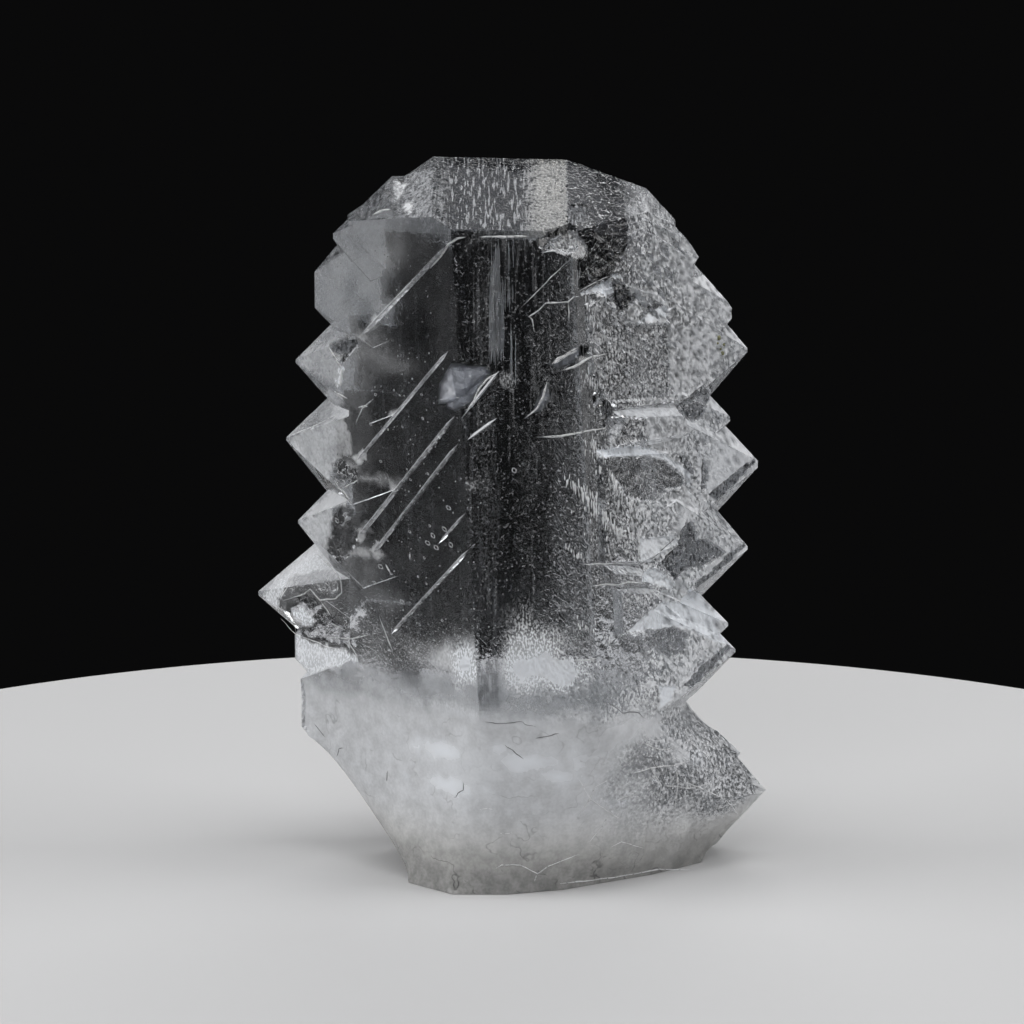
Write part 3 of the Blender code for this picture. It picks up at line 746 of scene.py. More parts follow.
def shapeRelief(points, faces, facet, normals):
    # moves every point inwards by the relief of the facets that meet there
    total = len(points)
    pairs = np.unique(np.stack([faces.reshape(-1), np.repeat(facet, 3)], 1), axis=0)
    where, which = pairs[:, 0], pairs[:, 1]
    p, n = points[where], normals[which]
    depth = reliefAt(p, n, patchLooks(p), pitsAt(p, n))
    shift = np.stack([np.bincount(where, -n[:, axis] * depth, total) for axis in range(3)], 1)
    count = np.bincount(where, minlength=total)
    share = np.where(count > 1, 0.6 / np.maximum(count, 1), 1.0)
    return points + shift * share[:, None]


def soften(points, faces, weight, rounds, axes=(0, 1, 2)):
    # moves every point towards the middle of its neighbours, as far as its weight allows
    total = len(points)
    edges = np.sort(np.concatenate([faces[:, [0, 1]], faces[:, [1, 2]], faces[:, [2, 0]]]), axis=1)
    edges = np.unique(edges, axis=0)
    edges = edges[(weight[edges] > 0).any(1)]
    a, b = edges.T
    count = np.maximum(np.bincount(edges.reshape(-1), minlength=total), 1).astype(float)
    points = points.copy()
    for _ in range(rounds):
        for axis in axes:
            values = points[:, axis]
            around = np.bincount(a, values[b], total) + np.bincount(b, values[a], total)
            points[:, axis] = values + (around / count - values) * weight
    return points


def softenFoot(points, faces):
    # rounds the edges where the foot broke off; the resting face and the tips stay as they are
    x, y, z = points.T
    weight = crystalShape["footSoftness"] * (1 - ramp(z, 13.5, 18)) * ramp(z, 0.02, 1.6)
    weight = weight * (1 - ramp(x, 17, 20)) * (1 - 0.6 * ramp(y, 3, 7)) * ramp(x, -20, -17)
    return soften(points, faces, weight, crystalShape["footRounds"])


def softenBack(points, faces):
    # evens out the low steps at the left of the back, which would show through the front
    x, y, z = points.T
    weight = crystalShape["backSoftness"] * ramp(y, 10.9, 11.2) * ramp(z, 17, 20)
    weight = weight * ramp(x, -12.5, -10.0) * (1 - ramp(x, -1.0, 2.0))
    return soften(points, faces, weight, crystalShape["backRounds"], (1,))


faceLooks = {               # from 0 to 1
    "plainMilk": 0.03,
    "windowMilk": 0.004,
    "windowBands": 0.025,   # faint upright bands inside the window
    "leftHaze": 0.115,
    "rightMilk": 0.42,
    "slopeMilk": 0.26,      # on top of the tips
    "underTips": 0.45,      # painted shade on the faces that look down
    "sutureMilk": 0.60,
    "footMilk": 0.80,
    "whiteSpots": 0.8,
    "strongCloud": 0.7,     # clouds with more milk than this also glow
}


def plainLooks(p, n, flat, cloud):
    # milk of the bare faces, and the painted shade on the faces below the tips that look down
    x, y, z = p.T
    nx, _, nz = n.T
    look = faceLooks
    # the left face is hazy towards the tips, furthest in at the top
    reach = np.interp(z, (24, 35, 45, 55, 62), (-11.5, -14.0, -13.8, -11.0, -9.0))
    uneven = 1 + 0.5 * layered(p, 3.0, 101, 3)
    leftHaze = look["leftHaze"] * (1 - ramp(x, reach - 3.5, reach + 2.5)) * uneven
    rightSlope = (0.05 + 0.08 * ramp(z, 26, 31)) * ((nx > 0.3) & (x > 4))
    milk = look["plainMilk"] + leftHaze + rightSlope + look["rightMilk"] * ramp(x, 8.0, 13.0)
    bands = ramp(np.abs(x - 1.3 - 0.03 * (z - 35)), 0.9, 0.3) * ramp(z, 48, 42)
    bands = look["windowBands"] * (ramp(np.abs(x + 2.4), 1.2, 0.5) + bands) * (y < 0)
    milk = np.where(flat, look["windowMilk"] + bands + 0.04 * ramp(x, 2, 6), milk)
    # faces that look down are made less milky and get painted shade
    down = ramp(-nz, 0.15, 0.45)
    milk = milk * (1 - 0.75 * down) + look["slopeMilk"] * ramp(nz, 0.25, 0.6) * (z < 59)
    return milk * (1 + 0.6 * cloud), look["underTips"] * down * (z > 16)


def roofLooks(x):
    # milk, painted shade, curls and how fully that shade covers, from a misty corner at the left to
    # the curly shoulder at the right
    onRight = x > places["rightSide"]
    milk = 0.05 - 0.035 * ramp(x, -7.5, -4.5) + 0.10 * ramp(x, 0.5, 3.2)
    milk = np.where(onRight, 0.02 + 0.36 * ramp(x, 9.5, 13.0), milk)
    # painted shade on the roof, darkest in the middle and on the shoulder
    dark = 0.62 + 0.38 * ramp(x, -8, -5) - 0.42 * ramp(x, 0.0, 3.0)
    dark = np.where(onRight, 1.0 - 0.7 * ramp(x, 9.5, 12.0), dark)
    curls = np.where(onRight, 1 - ramp(x, 9.5, 12.0), 0.0)
    shadeCover = 0.45 + 0.35 * ramp(x, -8, -5) - 0.35 * ramp(x, 0.0, 3.0) + 0.35 * ramp(x, 5.1, 5.4)
    return milk, dark, curls, shadeCover


def streaksAt(p, n, flat, roof):
    # how clearly the upright growth streaks show
    x, _, z = p.T
    front, behind = n[:, 1] < -0.1, (n[:, 1] > 0.1) & ~flat
    onRoof = 0.9 * ramp(x, -4, 1) * (x < places["rightSide"])
    streak = np.where(roof, onRoof, 0.35 * ramp(x, 4, 8) * front)
    streak = np.where(behind & ~roof, 0.45, streak)
    return np.where(flat & (z > 14), 1.0, streak) * ramp(z, 18, 20.5)


def cloudReach(p, middle, size):
    # 0 in the middle of an oval cloud, 1 at its rim
    return np.sqrt(((p[:, 0] - middle[0]) / size[0]) ** 2 + ((p[:, 2] - middle[1]) / size[1]) ** 2)


def footClouds(p, clouds, ragged, inner, outer):
    # the strongest of these clouds at every point of the front
    cover = np.zeros(len(p))
    for cx, cz, rx, rz, share in clouds:
        away = cloudReach(p, (cx, cz), (rx, rz)) * ragged
        cover = np.maximum(cover, share * (1 - ramp(away, inner, outer)))
    return cover


def addClouds(p, n, flat, milk):
    # lays the soft clouds over the milk; the strongest of them glow
    front = n[:, 1] < -0.1
    sides = {-1: front & (n[:, 0] < -0.3), 0: front & flat, 1: front & (n[:, 0] > 0.3)}
    glow = np.zeros(len(p))
    ragged = 1 + 0.55 * layered(p, 1.6, 43)
    for cx, cz, rx, rz, more, side in softClouds:
        away = cloudReach(p, (cx, cz), (rx, rz)) * ragged
        strong = more > faceLooks["strongCloud"]
        near = 1 - (ramp(away, 0.05, 1.30) if strong else ramp(away, 0.25, 1.15))
        near = np.where(sides[side], near, 0)
        milk = milk + (1 - milk if more > 0 else milk) * more * near
        if strong:
            glow = np.maximum(glow, near)
    return milk, glow


def looksAt(p, n):
    # the named looks of every point on its facet, each from 0 to 1
    x, y, z = p.T
    ny, nz = n[:, 1], n[:, 2]
    cloud, broad, patchy = layered(p, 6.0, 3), layered(p, 11.0, 29, 2), layered(p, 3.2, 97, 3)
    patch, pits = patchLooks(p), pitsAt(p, n)
    evenBack = (ny > 0) & (y > 11.2) & (x < 0) & (x > -12.5) & (z > places["footTop"])
    flat = (np.abs(ny) > flatFacing) | evenBack
    front, behind = ny < -0.1, (ny > 0.1) & ~flat
    roof = (nz > 0.5) & (z > places["roofLow"])

    milk, dark = plainLooks(p, n, flat, cloud)
    roofMilk, roofDark, roofCurls, roofShadeCover = roofLooks(x)
    milk = np.where(roof, roofMilk * (1 + 0.6 * cloud), milk)
    dark = np.where(roof, roofDark, dark)
    curls = np.where(roof, roofCurls, 0.0)
    shadeCover = np.where(roof, roofShadeCover, 0.0)
    away, _, lift = sutureOffset(p)
    milk = np.where((away < 0.4) & (lift > 0.012) & (ny < 0), faceLooks["sutureMilk"], milk)

    # the foot turns milky, a little lower under the window than beside it
    top = places["milkTop"]
    sunk = 0.9 * ramp(x, -5, -1) * (1 - ramp(x, 8, 10))
    foot = 1 - ramp(z + sunk + 1.5 * cloud + 0.05 * np.abs(x), top - 2.6, top + 1.8)
    milk = milk + ((faceLooks["footMilk"] + 0.10 * broad) - milk) * foot
    dark = dark * (1 - foot)
    milk, glow = addClouds(p, n, flat, milk)
    # painted shade: a dark upright bar between the two bright spots
    bar = (flat & (y < 0)) * ramp(x, -3.6, -3.3) * (1 - ramp(x, -1.4, -0.9))
    bar = bar * ramp(z, 18.0, 19.5) * (1 - ramp(z, 24, 31))
    milk, dark = milk * (1 - 0.7 * bar), dark + 0.5 * bar
    white = footClouds(p, whiteClouds, 1 + 0.85 * layered(p, 1.5, 47, 3), 0.0, 1.4) * front
    glassy = footClouds(p, glassyClouds, 1 + 0.35 * layered(p, 2.2, 53), 0.2, 1.35) * front
    whiteSpots = faceLooks["whiteSpots"]
    milk = milk + (1 - milk) * whiteSpots * white * foot
    milk = milk * (1 - 0.66 * glassy)
    # painted shade where the foot is clearer
    dark = dark + 0.6 * glassy
    curls = curls + 0.9 * glassy

    covered = front & (patch[0] >= 0)
    glow = np.maximum(glow, np.where(covered, ramp(patch[0], 0.6, 0.85), 0))
    milk = np.where(covered, patch[0] * (1 + 0.3 * cloud), milk)
    dark = np.where(covered, patch[1], dark)
    curls = np.where(covered, patch[2], curls)
    # the dark patches are painted shade; the darker ones are covered more fully
    patchShadeCover = 0.6 * ramp(patch[1], 0.3, 0.8) + 0.25 * ramp(patch[1], 0.8, 1.0)
    shadeCover = np.where(covered, patchShadeCover, shadeCover)
    # the faces behind are patchy, dark here and milky there
    dark = dark + np.where(behind, 0.45 * ramp(patchy, 0.05, 0.35) * (1 - foot), 0)
    milk = milk * np.where(behind & (foot < 0.5), 1 + 0.7 * ramp(-patchy, 0.05, 0.35), 1)
    # the back slopes are frosted, so that no hard reflection shows through the front
    frosted = 0.45 * ramp(ny, 0.1, 0.3) * (~flat) * (z > 14)
    looks = {
        "milk": milk, "frosted": frosted, "foot": foot * (1 - white) * (1 - glassy),
        "etch": etchAt(p, n), "streak": streaksAt(p, n, flat, roof), "dark": dark, "curl": curls,
        "pit": pits, "shadeCover": shadeCover, "glow": np.maximum(glow, whiteSpots * white * foot),
    }
    return {name: np.clip(values, 0, 1) for name, values in looks.items()}


def makeCrystal():
    points, faces = readMesh(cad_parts["quartz_crystal"].data)
    points, faces, facet, normals = fillFacets(narrowSutures(points), faces)
    print("facets", len(normals), "triangles", len(faces))
    marks = looksAt(points[faces].reshape(-1, 3), normals[np.repeat(facet, 3)])
    points = shapeRelief(points, faces, facet, normals)
    points = softenBack(softenFoot(points, faces), faces)
    low, high = (np.array(corner) * perMetre for corner in cadBox)
    points = np.clip(points, low, high)
    data = bpy.data.meshes.new("crystal")
    data.from_pydata((points * mm).tolist(), [], faces.tolist())
    crystal = bpy.data.objects.new("crystal", data)
    scene.collection.objects.link(crystal)
    for name, values in marks.items():
        layer = data.attributes.new(name, "FLOAT", "CORNER")
        layer.data.foreach_set("value", values.astype(np.float32))
    bm = bmesh.new()
    bm.from_mesh(data)
    bmesh.ops.delete(bm, geom=[v for v in bm.verts if not v.link_faces], context="VERTS")
    for face in bm.faces:
        face.smooth = True
    crease = math.radians(crystalShape["creaseAngle"])
    for edge in bm.edges:
        edge.smooth = edge.calc_face_angle(0) < crease
    print("open edges", sum(1 for e in bm.edges if not e.is_manifold))
    bm.to_mesh(data)
    bm.free()
    data.materials.append(quartzMaterial())
    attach(crystal, "root")
    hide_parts("quartz_crystal")
    print("crystal ready")
    return BVHTree.FromPolygons([tuple(p) for p in points.tolist()], faces.tolist())


quartzLook = {
    "ior": 1.544,
    "tint": (0.925, 0.94, 0.968),
    "white": (0.915, 0.95, 1.0),      # the brightest milky spots
    "shade": (0.027, 0.028, 0.031),   # painted shade on dark faces, specks and pits, also the grey of the foot
    "warm": (0.93, 0.92, 0.89),       # towards the bottom of the foot
    "cream": (0.97, 0.955, 0.90),     # the streaked end of the roof
    "absorbTint": (0.86, 0.88, 0.90),
    "absorbDensity": 20,    # per metre
    "shadeStrength": 1.45,      # how soon the places with painted shade turn fully dark
    "footGrey": 0.17,       # how much the milky foot is darkened
    "groundGrey": 0.42,     # how much more painted shade just above the ground
    "veinGrey": 0.22,
    "grain": 1.45,          # strength of the fine frosty grain
    "specks": 0.45,         # pale figures, from 0 to 1
    "curls": 0.66,
    "glints": 0.24,         # painted glints: bright specks among the painted dark specks
    "pits": 1.4,            # clear holes in the frost
    "dashes": 0.75,
    "pitShade": 0.62,       # how dark the painted shade in them is
    "milkRoughness": 0.3,
    "etchRoughness": 0.16,
    "bumpDepth": 0.09,      # mm
    "curlHeight": 0.05,     # mm
}

quartzSizes = {             # mm, the width of one feature
    "grain": 0.30, "patches": 2.4, "dashes": 0.24, "lines": 0.30, "wideLines": 1.5, "specks": 0.22,
    "curls": 0.62, "fine": 0.17, "glints": 0.20, "speckle": 0.42, "strokes": 0.26, "veins": 4.5,
    "cloudy": 1.3, "relief": 0.45,
}


class NodeDesk:
    # short ways to add and join shader nodes
    def __init__(self, name):
        self.material = bpy.data.materials.new(name)
        self.material.use_nodes = True
        self.tree = self.material.node_tree
        self.nodes, self.links = self.tree.nodes, self.tree.links
        self.shader = self.nodes["Principled BSDF"]
        place = self.nodes.new("ShaderNodeTexCoord").outputs["Object"]
        self.where = self.vector("SCALE", place, perMetre)  # in mm

    def put(self, value, socket):
        if isinstance(value, (int, float, tuple)):
            socket.default_value = value
        else:
            self.links.new(value, socket)

    def vector(self, kind, a, b):
        node = self.nodes.new("ShaderNodeVectorMath")
        node.operation = kind
        self.put(a, node.inputs[0])
        self.put(b, node.inputs["Scale"] if kind == "SCALE" else node.inputs[1])
        return node.outputs[0]

    def maths(self, kind, a, b=0.0, clamp=False):
        node = self.nodes.new("ShaderNodeMath")
        node.operation = kind
        node.use_clamp = clamp
        self.put(a, node.inputs[0])
        self.put(b, node.inputs[1])
        return node.outputs[0]

    def times(self, a, b):
        return self.maths("MULTIPLY", a, b)

    def plus(self, a, b):
        return self.maths("ADD", a, b)

    def minus(self, a, b):
        return self.maths("SUBTRACT", a, b)

    def most(self, a, b):
        return self.maths("MAXIMUM", a, b)

    def attribute(self, name):
        node = self.nodes.new("ShaderNodeAttribute")
        node.attribute_name = name
        return node.outputs["Fac"]

    def noise(self, size, stretch=(1, 1, 1), turn=0, detail=2.0, shift=(0, 0, 0)):
        # size is a feature's width in mm, stretch makes it longer, turn is about Y in degrees
        turned = self.nodes.new("ShaderNodeMapping")
        turned.inputs["Rotation"].default_value = (0, math.radians(turn), 0)
        turned.inputs["Location"].default_value = shift
        self.put(self.where, turned.inputs["Vector"])
        scaled = self.vector("MULTIPLY", turned.outputs[0], tuple(1 / (size * k) for k in stretch))
        node = self.nodes.new("ShaderNodeTexNoise")
        node.inputs["Scale"].default_value = 1
        node.inputs["Detail"].default_value = detail
        self.put(scaled, node.inputs["Vector"])
        return node.outputs["Fac"]

    def ramp(self, value, low, high, outLow=0.0, outHigh=1.0):
        node = self.nodes.new("ShaderNodeMapRange")
        node.interpolation_type = "SMOOTHSTEP"
        self.put(value, node.inputs["Value"])
        limits = {"From Min": low, "From Max": high, "To Min": outLow, "To Max": outHigh}
        for name, number in limits.items():
            node.inputs[name].default_value = number
        return node.outputs["Result"]

    def mixColor(self, share, a, b):
        node = self.nodes.new("ShaderNodeMix")
        node.data_type = "RGBA"
        self.put(share, node.inputs["Factor"])
        self.put(a + (1,) if isinstance(a, tuple) else a, node.inputs["A"])
        self.put(b + (1,) if isinstance(b, tuple) else b, node.inputs["B"])
        return node.outputs["Result"]

    def bump(self, height, depth, strength=1.0, after=None):
        node = self.nodes.new("ShaderNodeBump")
        node.inputs["Distance"].default_value = depth * mm
        self.put(strength, node.inputs["Strength"])
        self.put(height, node.inputs["Height"])
        if after:
            self.put(after, node.inputs["Normal"])
        return node.outputs["Normal"]


def quartzFigures(desk, marks):
    # the figures that the frost, the shade and the bumps share
    size, look = quartzSizes, quartzLook
    times, minus, ramp = desk.times, desk.minus, desk.ramp
    grain = desk.noise(size["grain"], detail=2)
    patches = desk.noise(size["patches"], detail=2, shift=(7, 3, 1))
    dashes = desk.noise(size["dashes"], (2.6, 1, 1), relief["pitSlant"], 1)
    # curls: thin pale worms along the contours of a noise
    contour = desk.noise(size["curls"], (1, 1, 1.3), relief["pitSlant"], 1, (1, 9, 4))
    contour = desk.maths("ABSOLUTE", minus(contour, 0.5))
    curls = times(ramp(contour, 0.0, 0.029, 1.0, 0.0), ramp(grain, 0.35, 0.6, 0.3, 1.0))
    # painted glints: bright specks among the painted shade
    glints = desk.noise(size["glints"], (1, 8, 8), detail=1, shift=(1, 6, 9))
    glints = times(ramp(glints, 0.50, 0.66), marks["shadeCover"])
    figures = {
        "grain": grain, "patches": patches, "dashes": ramp(dashes, 0.55, 0.61),
        "curls": times(curls, marks["curl"]),
        "glints": times(glints, minus(1.0, times(marks["curl"], 0.85))),
        "calm": ramp(marks["milk"], 0.5, 0.72, 1.0, 0.12),   # the milky foot is even
        "rough": times(marks["etch"], look["grain"]),
    }
    dashed = times(times(figures["dashes"], figures["rough"]), figures["calm"])
    figures["holes"] = desk.most(times(marks["pit"], look["pits"]), times(dashed, look["dashes"]))
    return figures


def quartzFrost(desk, marks, figures, up):
    # how milky or frosted the stone is, from 0 to 1
    size, look = quartzSizes, quartzLook
    times, plus, minus, ramp = desk.times, desk.plus, desk.minus, desk.ramp
    milk, streak = marks["milk"], marks["streak"]
    grain, calm = figures["grain"], figures["calm"]
    # upright streaks: thin pale lines inside broad ones
    lines = desk.noise(size["lines"], (1, 14, 22), detail=2)
    wideLines = desk.noise(size["wideLines"], (1, 10, 16), detail=0, shift=(3, 8, 0))
    streaks = times(ramp(lines, 0.5, 0.68), ramp(wideLines, 0.38, 0.62))
    streaks = times(times(streaks, streak), ramp(grain, 0.3, 0.6, 0.02, 0.14))
    specks = desk.noise(size["specks"], detail=0, shift=(5, 5, 5))
    specks = times(ramp(specks, 0.68, 0.76), look["specks"])
    specks = times(specks, plus(times(marks["etch"], calm), times(streak, 0.3)))
    unevenness = times(ramp(figures["patches"], 0.3, 0.7, -0.25, 0.25), calm)
    graininess = times(times(figures["rough"], calm), ramp(grain, 0.35, 0.65, -0.65, 0.65))
    # in the window and round the bright spots the haze is made of fine grains
    fine = desk.noise(size["fine"], (1, 1, 1.7), detail=1, shift=(3, 1, 4))
    where = times(desk.most(streak, marks["glow"]), ramp(up, 17.0, 19.5))
    where = times(where, minus(1.0, times(milk, 0.65)))
    fine = times(where, ramp(fine, 0.44, 0.62, -0.8, 1.8))
    frost = times(milk, plus(plus(1.0, fine), plus(unevenness, graininess)))
    frost = plus(frost, times(figures["curls"], look["curls"]))
    frost = plus(plus(frost, streaks), specks)
    frost = times(frost, minus(1.0, desk.maths("MULTIPLY", figures["holes"], 0.95, True)))
    return plus(frost, times(figures["glints"], look["glints"]))


def quartzShade(desk, marks, figures, up):
    # painted shade: how dark the stone is made to look, from 0 to 1, with the grey of the foot
    size, look = quartzSizes, quartzLook
    times, plus, minus, ramp = desk.times, desk.plus, desk.minus, desk.ramp
    # painted shade: dark specks, which close up where the shade covers fully, and upright strokes
    # where it is streaked
    speckle = desk.noise(size["speckle"], detail=2, shift=(8, 1, 6))
    speckle = ramp(speckle, 0.36, 0.60, 0.25, 1.0)
    strokes = desk.noise(size["strokes"], (1, 1, 5), detail=1, shift=(2, 5, 3))
    strokes = ramp(strokes, 0.40, 0.60, 0.1, 1.0)
    speckle = plus(speckle, times(marks["streak"], minus(strokes, speckle)))
    shade = times(marks["dark"], desk.most(speckle, marks["shadeCover"]))
    shade = times(shade, minus(1.0, times(figures["curls"], 0.9)))
    shade = times(times(shade, look["shadeStrength"]), minus(1.0, times(figures["glints"], 0.8)))
    # painted shade in the pits and dashes
    shade = desk.most(shade, desk.maths("MULTIPLY", figures["holes"], look["pitShade"], True))
    # the foot is a little grey, with cloudy spots and fine dark veins
    vein = minus(desk.noise(size["veins"], detail=3, shift=(6, 2, 8)), 0.5)
    vein = ramp(desk.maths("ABSOLUTE", vein), 0.0, 0.012, look["veinGrey"], 0.0)
    cloudy = desk.noise(size["cloudy"], detail=2, shift=(9, 9, 2))
    cloudy = ramp(cloudy, 0.34, 0.66, 0.12, 0.0)
    grey = times(vein, ramp(figures["patches"], 0.45, 0.6))
    grey = plus(grey, plus(cloudy, look["footGrey"]))
    # painted shade: darker just above the ground
    grey = plus(grey, ramp(up, 7.0, 0.5, 0.0, look["groundGrey"]))
    grey = plus(grey, ramp(figures["grain"], 0.35, 0.65, 0.05, -0.02))
    return desk.most(shade, times(marks["foot"], grey))


def quartzMaterial():
    desk = NodeDesk("quartz")
    look, shader = quartzLook, desk.shader
    times, plus, ramp = desk.times, desk.plus, desk.ramp
    names = ("milk", "etch", "streak", "dark", "curl", "pit", "glow", "frosted", "foot", "shadeCover")
    marks = {name: desk.attribute(name) for name in names}
    height = desk.nodes.new("ShaderNodeSeparateXYZ")
    desk.put(desk.where, height.inputs[0])
    across, inward, up = (height.outputs[axis] for axis in "XYZ")
    figures = quartzFigures(desk, marks)
    frost = quartzFrost(desk, marks, figures, up)
    shade = quartzShade(desk, marks, figures, up)

    shader.inputs["IOR"].default_value = look["ior"]
    desk.put(desk.maths("SUBTRACT", 1.0, frost, True), shader.inputs["Transmission Weight"])
    base = desk.mixColor(marks["glow"], look["tint"], look["white"])
    warmth = times(ramp(up, 9.0, 2.0), ramp(marks["milk"], 0.4, 0.8))
    base = desk.mixColor(warmth, base, look["warm"])
    rightSide = places["rightSide"]
    roofEnd = times(ramp(across, 0.5, 2.5), ramp(up, 62.6, 63.2))
    roofEnd = times(roofEnd, ramp(across, rightSide, rightSide - 0.2))
    base = desk.mixColor(times(roofEnd, ramp(inward, -0.5, -2.0)), base, look["cream"])
    # the painted shade and the grey of the foot darken the base colour
    base = desk.mixColor(desk.maths("MULTIPLY", shade, 1.0, True), base, look["shade"])
    desk.put(base, shader.inputs["Base Color"])
    etched = times(marks["etch"], look["etchRoughness"])
    milky = times(marks["milk"], look["milkRoughness"])
    desk.put(plus(plus(etched, milky), marks["frosted"]), shader.inputs["Roughness"])
    bumps = desk.noise(quartzSizes["relief"], detail=2, shift=(2, 2, 2))
    bumps = desk.minus(bumps, times(figures["dashes"], 0.8))
    normal = desk.bump(bumps, look["bumpDepth"], times(marks["etch"], figures["calm"]))
    normal = desk.bump(figures["curls"], look["curlHeight"], times(marks["curl"], 0.7), normal)
    desk.put(normal, shader.inputs["Normal"])
    absorb = desk.nodes.new("ShaderNodeVolumeAbsorption")
    absorb.inputs["Color"].default_value = look["absorbTint"] + (1,)
    absorb.inputs["Density"].default_value = look["absorbDensity"]
    desk.put(absorb.outputs[0], desk.nodes["Material Output"].inputs["Volume"])
    return desk.material


class Ground:
    # finds the crystal's front surface and lays paths on it, all in mm
    def __init__(self, tree):
        self.tree = tree

    def at(self, x, z, depth=0.0):
        spot = self.tree.ray_cast(Vector((x, -60, z)), Vector((0, 1, 0)))[0]
        return np.array((x, (spot.y if spot else frontY) + depth, z))

    def path(self, ends, depth=0.0, step=0.25, wander=0.05, seed=1):
        ends = np.array(ends, float)
        spots = [ends[:1]]
        for a, b in zip(ends, ends[1:]):
            parts = max(1, int(np.linalg.norm(b - a) / step))
            spots.append(a + (b - a) * (np.arange(1, parts + 1) / parts)[:, None])
        spots = np.concatenate(spots)
        shake = np.stack([smoothNoise(spots, 0.7, seed), smoothNoise(spots, 0.7, seed + 1)], 1)
        laid = np.array([self.at(x, z, depth) for x, z in spots + wander * shake])
        # a path doesn't dive into a narrow notch
        laid[:, 1] = np.minimum(laid[:, 1], np.median(laid[:, 1]) + 2.5)
        return laid


def addTube(bm, path, width, flatness=0.6, sides=5, ends=0.15):
    # closed tube that tapers at both ends; width may be one number or one for each point
    path = np.asarray(path, float)
    count = len(path)
    width = np.broadcast_to(np.asarray(width, float), (count,))
    along = np.gradient(path, axis=0)
    along /= np.maximum(np.linalg.norm(along, axis=1), 1e-9)[:, None]
    aside = np.cross(along, (0, 1, 0))
    aside /= np.maximum(np.linalg.norm(aside, axis=1), 1e-9)[:, None]
    out = np.cross(aside, along)
    t = np.linspace(0, 1, count)
    taper = ends + (1 - ends) * np.minimum(1, 5 * np.minimum(t, 1 - t))
    rings = []
    for k in range(count):
        ring = []
        for s in range(sides):
            angle = 2 * math.pi * s / sides
            r = width[k] / 2 * taper[k]
            p = path[k] + aside[k] * r * math.cos(angle) + out[k] * r * flatness * math.sin(angle)
            ring.append(bm.verts.new(p * mm))
        rings.append(ring)
    for low, high in zip(rings, rings[1:]):
        for s in range(sides):
            bm.faces.new((low[s], low[(s + 1) % sides], high[(s + 1) % sides], high[s]))
    bm.faces.new(rings[0][::-1])
    bm.faces.new(rings[-1])


def addPlate(bm, ground, outline, depth, bulge, thickness, gap=0.25, seed=1):
    # thin closed plate under the surface, gently waved, which fades towards its rim
    ends = np.array(outline, float)
    rim = []
    for a, b in zip(ends, np.roll(ends, -1, 0)):
        parts = max(1, int(np.linalg.norm(b - a) / gap))
        rim.append(a + (b - a) * (np.arange(parts) / parts)[:, None])
    rim = np.concatenate(rim)
    rim += 0.12 * np.stack([smoothNoise(rim, 0.8, seed), smoothNoise(rim, 0.8, seed + 3)], 1)

    def fromRim(spot):
        return np.linalg.norm(rim - spot, axis=1).min()

    low, high = rim.min(0), rim.max(0)
    columns, rows = np.arange(low[0], high[0], gap), np.arange(low[1], high[1], gap)
    grid = np.stack(np.meshgrid(columns, rows), -1).reshape(-1, 2)
    grid = grid[inside(grid, np.stack([rim, np.roll(rim, -1, 0)], 1))]
    grid = grid[[fromRim(spot) > 0.5 * gap for spot in grid]]
    edges = [(k, (k + 1) % len(rim)) for k in range(len(rim))]
    spots = [Vector(p) for p in np.vstack([rim, grid]).tolist()]
    spots, _, tris, *_ = delaunay_2d_cdt(spots, edges, [], 1, 1e-7)
    flat = np.array([tuple(p) for p in spots])
    y = ground.at(*ends.mean(0))[1] + depth + bulge * smoothNoise(flat, 1.6, seed + 5)
    spots = list(zip(flat, y))
    front = [bm.verts.new(Vector((x, near, z)) * mm) for (x, z), near in spots]
    back = [bm.verts.new(Vector((x, near + thickness, z)) * mm) for (x, z), near in spots]
    fade = bm.verts.layers.float["fade"]
    for spot, near, far in zip(flat, front, back):
        near[fade] = far[fade] = float(ramp(fromRim(spot), 0.0, 0.9))
    used = {}
    for a, b, c in tris:
        bm.faces.new((front[a], front[b], front[c]))
        bm.faces.new((back[c], back[b], back[a]))
        used.update(dict.fromkeys(((a, b), (b, c), (c, a))))
    for a, b in used:
        if (b, a) not in used:
            bm.faces.new((front[b], front[a], back[a], back[b]))


def finishPiece(name, bm, material):
    bmesh.ops.recalc_face_normals(bm, faces=bm.faces)
    for face in bm.faces:
        face.smooth = True
    openEdges = sum(1 for e in bm.edges if not e.is_manifold)
    print(name, "faces", len(bm.faces), "open edges", openEdges)
    data = bpy.data.meshes.new(name)
    bm.to_mesh(data)
    bm.free()
    data.materials.append(material)
    piece = bpy.data.objects.new(name, data)
    scene.collection.objects.link(piece)
    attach(piece, "root")


def mineralMaterial(name, look):
    # cloudy to clear material with a fine broken grain
    desk = NodeDesk(name)
    shader = desk.shader
    shader.inputs["IOR"].default_value = look["ior"]
    size, broken, roughness = look["grainSize"], look["broken"], look["roughness"]
    grain = desk.noise(size, look["stretch"], 0, 3)
    wide = desk.noise(size * 5, look["stretch"], 0, 2, (4, 4, 4))
    cover = desk.plus(look["cover"], desk.ramp(grain, 0.35, 0.65, -broken, broken))
    cover = desk.times(cover, desk.ramp(wide, 0.3, 0.6, 1 - broken, 1.0))
    if look.get("fades"):
        cover = desk.times(cover, desk.attribute("fade"))
    desk.put(desk.maths("SUBTRACT", 1.0, cover, True), shader.inputs["Transmission Weight"])
    desk.put(desk.mixColor(grain, look["darker"], look["color"]), shader.inputs["Base Color"])
    rough = desk.ramp(grain, 0.3, 0.7, roughness - 0.1, roughness + 0.1)
    desk.put(rough, shader.inputs["Roughness"])
    desk.put(desk.bump(grain, 0.03, 0.5), shader.inputs["Normal"])
    return desk.material


